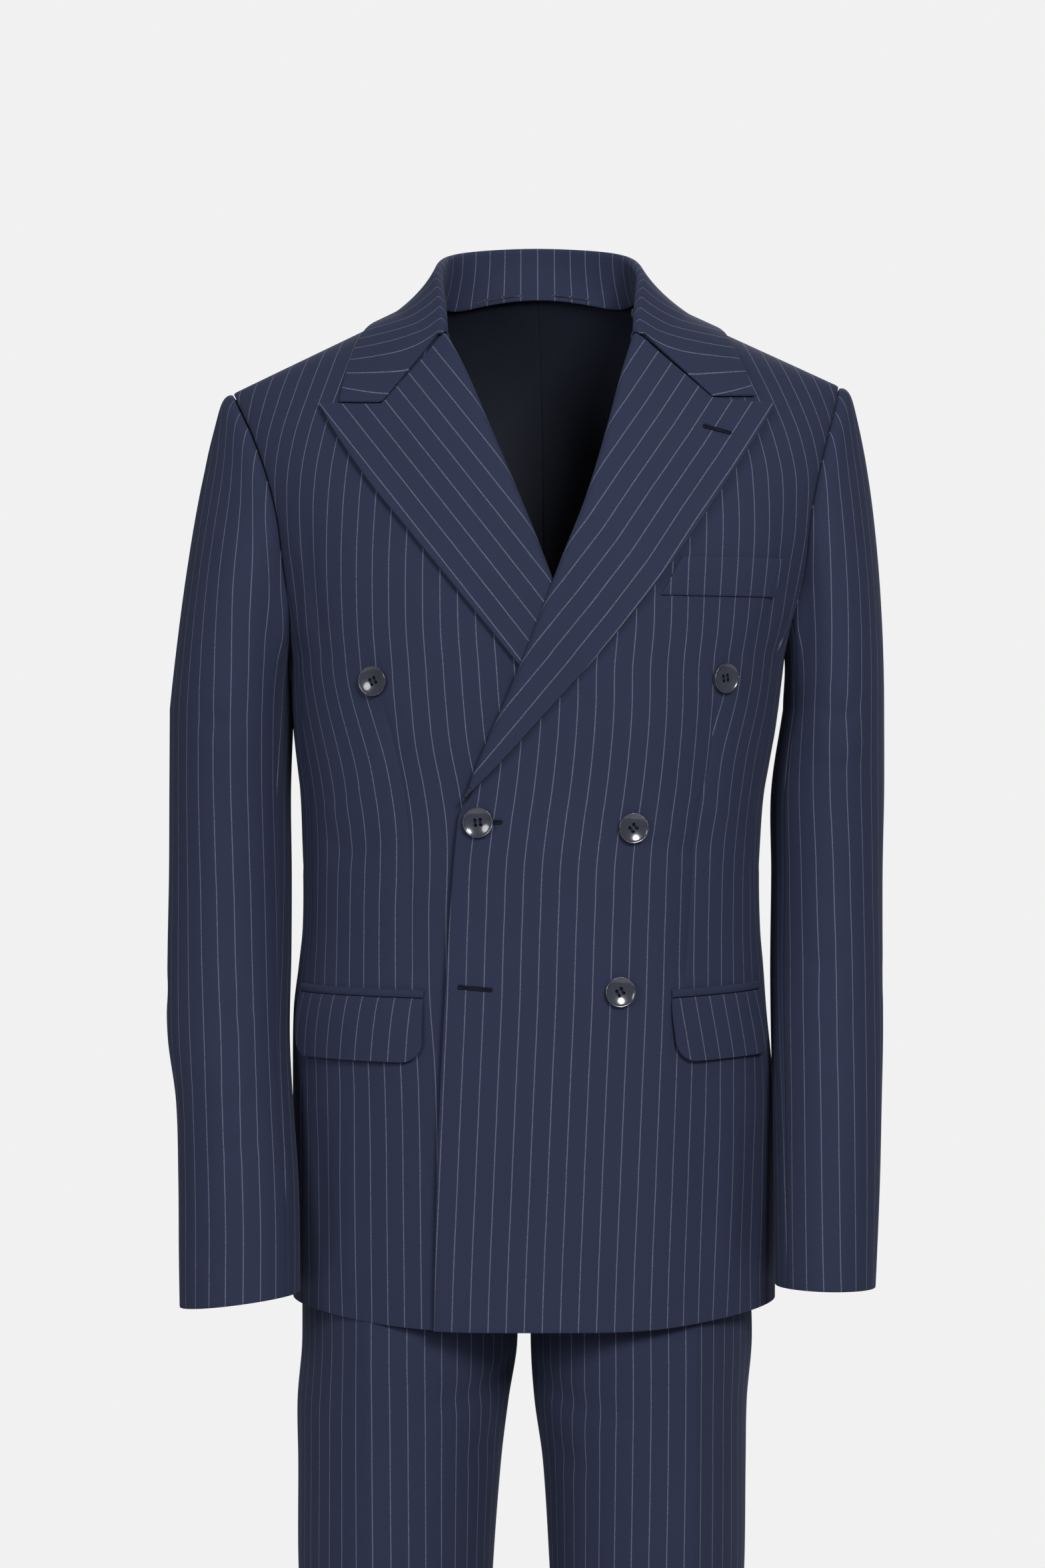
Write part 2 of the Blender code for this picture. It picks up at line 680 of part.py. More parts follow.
def build_side_panel(name, side):
    """Panel under the arm, up to the armhole's lower curve."""
    seam = math.degrees(SEAM / BODY_ROWS[0].front)
    start, end = YOKE_ROWS[0].front_angle + seam, YOKE_ROWS[0].back_angle - seam
    columns = []
    for angle in spread(start, end, SIDE_COLUMNS):
        turn = side * math.radians(angle)
        levels = spread(-1.0, armhole_level(angle), BODY_ROW_COUNT)
        columns.append([on_round(turn, level, 0.0) for level in levels])
    build_wall(name, columns, CLOTH)


def build_back(name, side):
    """Half of the back, from the centre seam and neck curve to the side seam and armhole."""
    rows = []
    for level in panel_levels():
        centre = side * (neck_angle(level, side) - SEAM / BODY_ROWS[0].back)
        angles = even_angles(centre, outer_angle(level, side, True), level, BACK_COLUMNS)
        rows.append([on_round(angle, level, 0.0) for angle in angles])
    rows[-1] = [(point + Vector((0, SEAM, 0)), normal) for point, normal in rows[-1]]
    build_wall(name, rows, CLOTH)


# ================================================================ lapels and collar
def notched_line(first, notch, last, share):
    """Point on the bent line from the roll line through the notch to the outer end."""
    straight = last - first
    corner = (notch - first).dot(straight) / straight.dot(straight)
    if share <= corner:
        return blend(first, notch, share / corner)
    return blend(notch, last, (share - corner) / (1 - corner))


def lapel_place(rows, notch, station, share):
    """Front view place on a lapel."""
    row = smooth_row(rows, station)
    roll, edge = Vector((row.roll_x, row.roll_z)), Vector((row.edge_x, row.edge_z))
    top = rows[-1]
    top_roll, top_edge = Vector((top.roll_x, top.roll_z)), Vector((top.edge_x, top.edge_z))
    bend = (notched_line(top_roll, Vector(notch), top_edge, share)
            - blend(top_roll, top_edge, share))
    fade = ease(1 - (1 - station) / NOTCH_REACH)
    return blend(roll, edge, share) + bend * fade * fade


def build_lapel(name, rows, notch, over):
    """Peaked lapel that lies on its front from the roll line to its outer edge."""
    count, columns = LAPEL_SHAPE
    grid = []
    for station in spread(0.0, 1.0, count):
        line = []
        for share in spread(0.0, 1.0, columns):
            place = lapel_place(rows, notch, station, share)
            line.append(on_front(place.x, place.y, SEAM + CLOTH + LAPEL_CLEARANCE, over))
        grid.append(line)
    build_wall(name, grid, CLOTH)


def over_shoulder(x, turn):
    """Yoke point by distance from the centre and turn over the shoulder: 90 is the seam."""
    level = math.sin(math.radians(turn))
    yoke = smooth_row(YOKE_ROWS, level)
    share = (x - yoke.centre) / yoke.half_width
    angle = math.copysign(math.asin(abs(share) ** (SECTION_POWER / 2)), share)
    if turn > 90:
        angle = math.pi - angle
    return body_point(angle, level)


def clear_of_body(point, distance):
    """Point moved out from the yoke, in its fore-and-aft section, until it is clear."""
    level = (point.z - ARMPIT_Z) / (shoulder_height(point.x) - ARMPIT_Z)
    row = smooth_row(YOKE_ROWS, min(max(level, 0.0), 1.0))
    share = min(abs(point.x - row.centre) / row.half_width, 1.0)
    bow = (1 - share ** SECTION_POWER) ** (1 / SECTION_POWER)
    edge = BODY_ROWS[-1].back * bow if point.y > RIDGE_Y else -BODY_ROWS[-1].front * bow
    reach = abs(edge - RIDGE_Y)
    rise = shoulder_height(point.x) - ARMPIT_Z
    y, z = point.y - RIDGE_Y, point.z - ARMPIT_Z
    inside = math.hypot(y / (reach + distance), z / (rise + distance))
    if inside >= 1:
        return point
    return Vector((point.x, RIDGE_Y + y / inside, ARMPIT_Z + z / inside))


def collar_surface(station, share):
    """Outer face of the collar's fall: share 0 is the fold, 1 the outer edge."""
    row = smooth_row(COLLAR_ROWS, station)
    fold = Vector((row.fold_x, row.fold_y, row.fold_z))
    edge = over_shoulder(row.edge_x, row.edge_angle)
    crown = blend(fold, edge, COLLAR_CROWN)
    crown.z -= smooth_values(COLLAR_SAG, station)
    rest = 1 - share
    point = fold * rest * rest + crown * 2 * rest * share + edge * share * share
    near = min(station, 1 - station)
    flush = ease(1 - near / COLLAR_END_REACH)
    point = blend(point, blend(fold, edge, share), flush)
    notch = Vector(UNDER_NOTCH if station < 0.5 else OVER_NOTCH)
    end = ease(1 - near / COLLAR_BEND_REACH) ** 2
    if end > 0:
        row = COLLAR_ROWS[0 if station < 0.5 else -1]
        first = Vector((row.fold_x, row.fold_z))
        corner = over_shoulder(row.edge_x, row.edge_angle)
        last = Vector((corner.x, corner.z))
        bent = notched_line(first, notch + Vector((0, NOTCH_GAP)), last, share)
        bend = bent - blend(first, last, share)
        point += Vector((bend.x, 0, bend.y)) * end
    distance = SEAM + CLOTH + COLLAR_CLEARANCE
    clear = clear_of_body(point, distance)
    if flush > 0:
        laid, _ = on_front(point.x, point.z, distance)
        clear = blend(clear, laid, flush)
    return clear


def build_collar():
    """Fall of the collar, and the stand inside it."""
    count, columns = COLLAR_SHAPE
    fall = []
    stand = []
    for station in spread(0.0, 1.0, count):
        shares = spread(0.0, 1.0, columns)
        fall.append([sample(collar_surface, station, share) for share in shares])
    for station in spread(STAND_END, 1 - STAND_END, count):
        row = smooth_row(COLLAR_ROWS, station)
        foot = over_shoulder(row.seam_x, row.seam_angle)
        inward = Vector((-foot.x, RIDGE_Y - foot.y, 0)).normalized()
        foot += Vector((0, 0, 2 * SEAM)) + inward * 2 * SEAM
        top = Vector((row.fold_x, row.fold_y, row.fold_z - STAND_DROP)) + inward * STAND_DROP
        stand.append([(blend(foot, top, share), -inward)
                      for share in spread(0.0, 1.0, STAND_COLUMNS)])
    build_wall("collar_fall", fall, CLOTH)
    build_wall("collar_stand", stand, CLOTH)


# ================================================================ pockets
def build_welt():
    """Welt of the breast pocket."""
    grid = []
    rows, columns = WELT_SHAPE
    for share in spread(0.0, 1.0, rows):
        start = blend(Vector(WELT_BOTTOM[0]), Vector(WELT_TOP[0]), share)
        end = blend(Vector(WELT_BOTTOM[1]), Vector(WELT_TOP[1]), share)
        line = [blend(start, end, step) for step in spread(0.0, 1.0, columns)]
        grid.append([on_front(place.x, place.y, SEAM + TRIM, over=True) for place in line])
    build_wall("breast_welt", grid, TRIM)


def pocket_grid(spec, top, height_at, lift_at, rows, columns):
    """Grid of a jet or flap that hangs down from a line round the hip."""
    inner_angle = place_of(spec.inner_x, spec.inner_z)[0]
    outer = math.radians(spec.outer_angle)
    start = body_point(inner_angle, place_of(spec.inner_x, spec.inner_z)[1])
    level = (spec.inner_z - ARMPIT_Z) / (ARMPIT_Z - HEM_Z)
    angles = even_angles(inner_angle, outer, level, columns)
    width = sum((body_point(second, level) - body_point(first, level)).length
                for first, second in zip(angles, angles[1:]))
    grid = []
    for share in spread(0.0, 1.0, rows):
        line = []
        for angle, step in zip(angles, spread(0.0, 1.0, columns)):
            z = start.z + spec.outer_rise * step - top - height_at(step * width, width) * share
            here = (z - ARMPIT_Z) / (ARMPIT_Z - HEM_Z)
            line.append(on_round(angle, here, lift_at(share), over=spec.side > 0))
        grid.append(line)
    return grid


def flap_height(along, width):
    """Height of a flap at a distance along it, with rounded lower corners."""
    near = min(along, width - along)
    if near >= FLAP_CORNER:
        return FLAP_HEIGHT
    inset = FLAP_CORNER - near
    return FLAP_HEIGHT - FLAP_CORNER + math.sqrt(FLAP_CORNER ** 2 - inset ** 2)


def build_hip_pocket(spec):
    """Jet and flap of one hip pocket."""
    name = "left" if spec.side > 0 else "right"
    jet = pocket_grid(spec, 0.0, lambda along, width: JET_HEIGHT,
                      lambda share: SEAM + TRIM, *JET_SHAPE)
    build_wall(f"pocket_jet_{name}", jet, TRIM)
    flap = pocket_grid(spec, JET_HEIGHT + SEAM, flap_height,
                       lambda share: SEAM + TRIM + FLAP_STAND_OFF * share, *FLAP_SHAPE)
    build_wall(f"pocket_flap_{name}", flap, TRIM)


# ================================================================ sleeves
def armhole_loop(side):
    """Armhole as (angle round its middle, point): 0 is the top, 90 the front."""
    points = []
    for level in spread(1.0, ARMHOLE_LEVEL, ARMHOLE_STEPS):
        points.append(body_point(outer_angle(level, side, False), level))
    low = YOKE_ROWS[0]
    for angle in spread(low.front_angle, low.back_angle, ARMHOLE_STEPS):
        points.append(body_point(side * math.radians(angle), armhole_level(angle)))
    for level in spread(ARMHOLE_LEVEL, 1.0, ARMHOLE_STEPS):
        points.append(body_point(outer_angle(level, side, True), level))
    top, bottom = points[0].z, min(point.z for point in points)
    middle = Vector((0, RIDGE_Y, (top + bottom) / 2))
    loop = []
    for point in points:
        offset = point - middle
        turn = math.degrees(math.atan2(-offset.y, offset.z)) % 360
        loop.append((turn, point))
    loop.sort(key=lambda item: item[0])
    return loop, middle


ARMHOLES = {side: armhole_loop(side) for side in (1, -1)}


def armhole_point(side, turn):
    """Point of the armhole at an angle round its middle."""
    loop, middle = ARMHOLES[side]
    turn %= 360
    after = next((i for i, (angle, _) in enumerate(loop) if angle > turn), 0)
    low, high = loop[after - 1], loop[after]
    span = (high[0] - low[0]) % 360
    point = blend(low[1], high[1], ((turn - low[0]) % 360) / span if span else 0.0)
    inward = Vector((0, middle.y - point.y, middle.z - point.z)).normalized()
    return point + (inward + Vector((side, 0, 0))) * SLEEVE_OFFSET


def sleeve_ring(side, turn, height):
    """Point of a sleeve's level section: 0 is the outer side, 90 the front."""
    row = smooth_row(SLEEVE_ROWS[side], height)
    cosine, sine = math.cos(math.radians(turn)), math.sin(math.radians(turn))
    return Vector((row.centre_x + side * row.half_width * cosine,
                   row.centre_y - row.half_depth * sine,
                   height - row.outer_drop * cosine))


def sleeve_surface(side, turn, run):
    """Outer face of a sleeve: run -1 is the armhole, 0 the upper arm, 1 the cuff."""
    if run >= 0:
        return sleeve_ring(side, turn, blend(SLEEVE_TOP_Z, CUFF_Z[side], run))
    start = armhole_point(side, turn)
    end = sleeve_ring(side, turn, SLEEVE_TOP_Z)
    cosine = math.cos(math.radians(turn))
    outer = max(cosine, 0.0)
    reach = CAP_REACH + (SHOULDER_REACH[side] - CAP_REACH if cosine > 0 else CAP_UNDER) * cosine
    leave = Vector((side * reach, -CAP_FORWARD * math.sin(math.radians(turn)),
                    -CAP_DROP[0] - CAP_DROP[1] * (1 - cosine)))
    arrive = Vector((-side * CAP_LEAN[side] * outer, 0, CAP_RISE[0] + CAP_RISE[1] * cosine))
    return bezier(start, start + leave, end + arrive, end, run + 1)


def build_sleeve(side):
    """Top and under sleeve, from the armhole to the cuff."""
    name = "left" if side > 0 else "right"
    runs = spread(-1.0, 0.0, SLEEVE_CAP_ROWS) + spread(0.0, 1.0, SLEEVE_LENGTH_ROWS)[1:]
    seam = math.degrees(SEAM / 2 / SLEEVE_RADIUS)
    spans = (
        ("top", BACK_SEAM_ANGLE - 360 + seam, FRONT_SEAM_ANGLE - seam, TOP_SLEEVE_COLUMNS),
        ("under", FRONT_SEAM_ANGLE + seam, BACK_SEAM_ANGLE - seam, UNDER_SLEEVE_COLUMNS),
    )

    def surface(turn, run):
        return sleeve_surface(side, turn, run)

    for part, start, end, columns in spans:
        grid = []
        for run in runs:
            grid.append([sample(surface, turn, run, side) for turn in spread(start, end, columns)])
        build_wall(f"sleeve_{part}_{name}", grid, CLOTH)
    for index in range(CUFF_BUTTON_COUNT):
        height = CUFF_BUTTON_LOWEST + index * CUFF_BUTTON_STEP
        run = (height - SLEEVE_TOP_Z) / (CUFF_Z[side] - SLEEVE_TOP_Z)
        pair = lifted(sample(surface, CUFF_BUTTON_ANGLE, run, side), SEAM)
        build_button(f"cuff_button_{name}_{index + 1}", pair, CUFF_BUTTON_RADIUS,
                     CUFF_BUTTON_HEIGHT, segments=CUFF_BUTTON_SIDES)


# ================================================================ trousers
def trouser_surface(side, back, share, height):
    """Outer face of one leg panel: share 0 is the outer seam, 1 the inner or centre seam."""
    leg = smooth_row(LEG_ROWS[side], height)
    hip = smooth_row(HIP_ROWS, height)
    depth_sign = 1 if back else -1
    turn = math.pi * share
    leg_depth = leg.back if back else leg.front
    leg_point = Vector((leg.centre_x + side * leg.half_width * math.cos(turn),
                        depth_sign * leg_depth * math.sin(turn), height))
    hip_depth = hip.back if back else hip.front
    hip_point = Vector((side * (hip.half_width * math.cos(turn / 2) + CENTRE_GAP),
                        depth_sign * hip_depth * math.sin(turn / 2), height))
    top = BACK_RISE_Z if back else FRONT_RISE_Z
    joined = ease((height - CROTCH_Z) / (top - CROTCH_Z))
    return blend(leg_point, hip_point, joined) + Vector((TROUSER_CENTRE, 0, 0))


def build_leg_panel(side, back):
    """Front or back panel of one trouser leg, hem to waist seam."""
    heights = spread(TROUSER_HEM_Z, CROTCH_Z, LEG_ROW_COUNT)
    heights += spread(CROTCH_Z, WAIST_SEAM_Z, HIP_ROW_COUNT)[1:]

    def surface(share, height):
        return trouser_surface(side, back, share, height)

    facing = side if back else -side
    grid = []
    for height in heights:
        grid.append([sample(surface, share, height, facing)
                     for share in spread(PANEL_START, 1.0, LEG_COLUMNS)])
    part = "back" if back else "front"
    name = "left" if side > 0 else "right"
    build_wall(f"trouser_{part}_{name}", grid, CLOTH)


def waist_point(angle, height):
    """Outer face of the waistband."""
    row = smooth_row(HIP_ROWS, height)
    depth = row.front if math.cos(angle) > 0 else row.back
    return Vector((TROUSER_CENTRE + row.half_width * math.sin(angle),
                   -depth * math.cos(angle), height))


def build_waist():
    """Waistband with its button, and the lap of the fly."""
    end = math.pi - WAISTBAND_GAP
    bottom = WAIST_SEAM_Z + SEAM
    rows, columns = WAISTBAND_SHAPE
    grid = []
    for height in spread(bottom, WAISTBAND_TOP_Z, rows):
        grid.append([sample(waist_point, angle + math.pi, height)
                     for angle in spread(-end, end, columns)])
    build_wall("waistband", grid, CLOTH)
    middle = (bottom + WAISTBAND_TOP_Z) / 2
    button = lifted(sample(waist_point, WAIST_BUTTON_ANGLE, middle), SEAM)
    build_button("waistband_button", button, CUFF_BUTTON_RADIUS, CUFF_BUTTON_HEIGHT,
                 segments=CUFF_BUTTON_SIDES)
    rows, columns = FLY_SHAPE
    fly = []
    for height in spread(FLY_BOTTOM_Z, WAIST_SEAM_Z - SEAM, rows):
        widen = ease((height - FLY_BOTTOM_Z + FLY_RUN_OUT[0]) / FLY_RUN_OUT[1])
        span = FLY_WIDTH / HIP_ROWS[2].half_width * widen
        fly.append([lifted(sample(waist_point, angle, height), SEAM + TRIM)
                    for angle in spread(FLY_START, span, columns)])
    build_wall("trouser_fly", fly, TRIM)


# ================================================================ assembly
def build_buttons():
    """Front buttons, four of them on the overlapping front."""
    for spec in FRONT_BUTTONS:
        on_lap = spec.name != "button_upper_right"
        place = on_front(spec.x, spec.z, SEAM, over=on_lap)
        build_button(spec.name, place, BUTTON_RADIUS, BUTTON_HEIGHT)
    hidden = on_front(HIDDEN_BUTTON.x, HIDDEN_BUTTON.z, SEAM)
    build_button(HIDDEN_BUTTON.name, hidden, BUTTON_RADIUS, HIDDEN_BUTTON_HEIGHT,
                 dish=HIDDEN_BUTTON_DISH)


def main():
    """Clear the scene and build the jacket and the trousers."""
    for thing in list(bpy.data.objects):
        bpy.data.objects.remove(thing, do_unlink=True)
    build_front("forepart_left", 1, OVER_EDGE, over=True)
    build_front("forepart_right", -1, UNDER_EDGE, over=False)
    for side, name in ((1, "left"), (-1, "right")):
        build_side_panel(f"side_panel_{name}", side)
        build_back(f"back_{name}", side)
        build_sleeve(side)
        build_leg_panel(side, back=False)
        build_leg_panel(side, back=True)
    build_lapel("lapel_left", OVER_LAPEL, OVER_NOTCH, over=True)
    build_lapel("lapel_right", UNDER_LAPEL, UNDER_NOTCH, over=False)
    build_collar()
    build_welt()
    for spec in HIP_POCKETS:
        build_hip_pocket(spec)
    build_buttons()
    build_waist()


main()
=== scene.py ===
"""Two-piece suit: the dressed double-breasted jacket and its trousers, in metres.

The wearer faces -Y and the wearer's left is +X. Every cloth piece is a closed wall on a
grid of points: rows run up the piece, columns run across it. Each carries a UV map named
"cloth", which holds metres across and along the grain, so the stripes follow the cut.
"""

import logging
import math
import sys
from dataclasses import dataclass
from enum import Enum
from functools import partial
from typing import Callable

import bpy
import numpy as np
from mathutils import Matrix, Vector


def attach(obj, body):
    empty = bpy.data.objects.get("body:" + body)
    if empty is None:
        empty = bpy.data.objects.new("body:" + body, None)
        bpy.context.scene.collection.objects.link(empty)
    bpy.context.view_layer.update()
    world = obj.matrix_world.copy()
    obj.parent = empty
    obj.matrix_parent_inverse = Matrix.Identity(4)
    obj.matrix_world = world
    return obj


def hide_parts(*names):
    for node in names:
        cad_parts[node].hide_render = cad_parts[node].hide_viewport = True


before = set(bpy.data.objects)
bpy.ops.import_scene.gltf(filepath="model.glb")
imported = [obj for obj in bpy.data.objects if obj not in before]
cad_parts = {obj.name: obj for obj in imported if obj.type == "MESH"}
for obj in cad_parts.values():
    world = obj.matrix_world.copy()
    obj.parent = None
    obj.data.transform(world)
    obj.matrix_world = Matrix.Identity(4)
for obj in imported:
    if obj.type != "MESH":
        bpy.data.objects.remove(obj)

Array = np.ndarray
Piece = bpy.types.Object
Material = bpy.types.Material
Tree = bpy.types.NodeTree
Socket = bpy.types.NodeSocket
Place = Callable[[Array, Array], Array]
LOG = logging.getLogger("suit")
STRIPE_STEP = 0.0127
CLOTH = 0.002
TRIM = 0.0016
SEAM = 0.0004


# ======== tables and curves
def table_at(table: tuple, keys: Array) -> Array:
    """Rows of a table at keys among its first column, on cubics through its rows.

    Args:
        table: Rows of numbers, rising in their first one.
        keys: Keys of any shape.

    Returns:
        The rows, with one more axis than the keys.
    """
    rows = np.array(table, dtype=float)
    last = len(rows) - 1
    keys = np.clip(np.asarray(keys, dtype=float), rows[0, 0], rows[-1, 0])
    low = np.clip(np.searchsorted(rows[:, 0], keys, side="right") - 1, 0, last - 1)
    before, start, end, after = (rows[np.clip(low + step, 0, last)] for step in (-1, 0, 1, 2))
    span = end[..., :1] - start[..., :1]
    share = (keys[..., None] - start[..., :1]) / span
    leave = (end - before) / (end[..., :1] - before[..., :1]) * span
    arrive = (after - start) / (after[..., :1] - start[..., :1]) * span
    bend = 2 * start - 2 * end + leave + arrive
    turn = 3 * end - 3 * start - 2 * leave - arrive
    return ((bend * share + turn) * share + leave) * share + start


def ease(value: Array) -> Array:
    """Smooth step from 0 to 1."""
    value = np.clip(value, 0.0, 1.0)
    return value * value * (3 - 2 * value)


def unit(vectors: Array) -> Array:
    """Vectors at length 1."""
    return vectors / np.maximum(np.linalg.norm(vectors, axis=-1, keepdims=True), 1e-12)


def paired(first: Array, second: Array) -> tuple[Array, Array]:
    """Two arrays of numbers, brought to one shape."""
    return np.broadcast_arrays(np.asarray(first, float), np.asarray(second, float))


def dot(first: Array, second: Array) -> Array:
    """Dot product along the last axis, kept as an axis."""
    return (first * second).sum(axis=-1, keepdims=True)


def run_lengths(points: Array, flat: bool = False) -> Array:
    """Length run along each row of points.

    Args:
        points: Points, the last axis but one along the row.
        flat: Counts only the level part of each step.

    Returns:
        Running lengths from 0, one per point.
    """
    steps = np.diff(points, axis=-2)
    if flat:
        steps = steps[..., :2]
    lengths = np.linalg.norm(steps, axis=-1)
    start = np.zeros(lengths.shape[:-1] + (1,))
    return np.concatenate([start, np.cumsum(lengths, axis=-1)], axis=-1)


def spread(start: Array, end: Array, count: int) -> Array:
    """Even steps in each row, from its start to its end."""
    return start[:, None] + (end - start)[:, None] * np.linspace(0, 1, count)


def rolled(centre: Array, toward: Array, upward: Array, radius: Array, turn: Array) -> Array:
    """Arcs round each centre, turned from one direction to the other."""
    reach = radius[:, None, None]
    return (centre[:, None] + toward[:, None] * reach * np.cos(turn)[..., None]
            + upward[:, None] * reach * np.sin(turn)[..., None])


def along_rows(wanted: Array, known: Array, values: Array) -> Array:
    """Values at wanted places of each row, between known places."""
    return np.stack([np.interp(w, k, v) for w, k, v in zip(wanted, known, values)])


def line_distance(points: Array, line: Array) -> tuple[Array, Array]:
    """Distance of points to a line of points, and the share of the line's length there."""
    start, step = line[:-1], np.diff(line, axis=0)
    offset = points[..., None, :] - start
    share = np.clip((offset * step).sum(-1) / (step * step).sum(-1), 0.0, 1.0)
    gap = np.linalg.norm(offset - share[..., None] * step, axis=-1)
    nearest = gap.argmin(axis=-1)[..., None]
    place = nearest + np.take_along_axis(share, nearest, axis=-1)
    return np.take_along_axis(gap, nearest, axis=-1)[..., 0], place[..., 0] / len(step)


@dataclass(frozen=True)
class Crease:
    """Soft trough or ridge of worn cloth, along a path of surface places."""

    path: tuple
    depth: float
    width: float

    def height(self, points: Array, place: Place) -> Array:
        """Rise of the crease above each point.

        Args:
            points: Points of the cloth.
            place: Turns the path's two numbers into points.

        Returns:
            Rise along the normal, negative in a trough.
        """
        keys = np.array(self.path, dtype=float)
        knots = np.linspace(0.0, 1.0, len(keys))
        table = tuple(np.column_stack([knots, keys]))
        path = table_at(table, np.linspace(0.0, 1.0, 24))
        gap, share = line_distance(points, place(path[:, 1], path[:, 2]))
        reach = (gap / self.width) ** 2
        fade = np.sin(math.pi * np.clip(share, 0.0, 1.0)) ** 0.8
        return self.depth * fade * (1 - 0.7 * reach) * np.exp(-reach)


def crease_relief(points: Array, creases: tuple, place: Place) -> Array:
    """Sum of several creases above each point."""
    heights = (crease.height(points, place) for crease in creases)
    return sum(heights, np.zeros(points.shape[:-1]))


def milli(*rows: tuple) -> tuple:
    """Rows given in thousandths, so lengths in millimetres."""
    return tuple(tuple(value / 1000 for value in row) for row in rows)


def creased(*rows: tuple) -> tuple:
    """Creases from rows of depth, width, then each place as a turn or share and a height.

    Args:
        rows: The rows, with every length in millimetres.

    Returns:
        The creases.
    """
    return tuple(Crease(tuple((turn, height / 1000) for turn, height in zip(row[2::2], row[3::2])),
                        row[0] / 1000, row[1] / 1000) for row in rows)


def placed(data: bpy.types.ID) -> Piece:
    """New object of a mesh, lamp or camera, in the scene under its name."""
    piece = bpy.data.objects.new(data.name, data)
    bpy.context.scene.collection.objects.link(piece)
    return piece


# ======== cloth walls
class Edge(Enum):
    """How the border of a cloth piece is finished: (distance, drop of the outer face)."""

    SEAM = ((0.0, 0.00085), (0.0004, 0.00052), (0.0012, 0.00022), (0.0024, 0.00006))
    FOLD = ((0.0, 0.00092), (0.00012, 0.00048), (0.00045, 0.00015), (0.001, 0.0))


def with_border(grid: Array, edge: Edge, first: bool) -> Array:
    """Grid with three more rows close to its first or last row."""
    if not first:
        return with_border(grid[::-1], edge, True)[::-1]
    gap = np.linalg.norm(grid[1, :, :3] - grid[0, :, :3], axis=-1)[:, None]
    rows = [grid[:1]]
    for index, (distance, _) in enumerate(edge.value[1:], start=1):
        share = np.minimum(distance / np.maximum(gap, 1e-9), 0.22 * index)
        rows.append((grid[0] + (grid[1] - grid[0]) * share)[None])
    return np.concatenate(rows + [grid[1:]])


def border_drop(count: int, first: Edge, last: Edge) -> Array:
    """Drop of the outer face for each row of a grid that has both its borders."""
    drop = np.zeros(count)
    drop[:4] = [value for _, value in first.value]
    drop[-4:] = [value for _, value in last.value][::-1]
    return drop


def grid_normals(points: Array, facing: int) -> Array:
    """Unit normals of a grid of points."""
    across = np.gradient(points, axis=1)
    upward = np.gradient(points, axis=0)
    return unit(np.cross(across, upward)) * facing


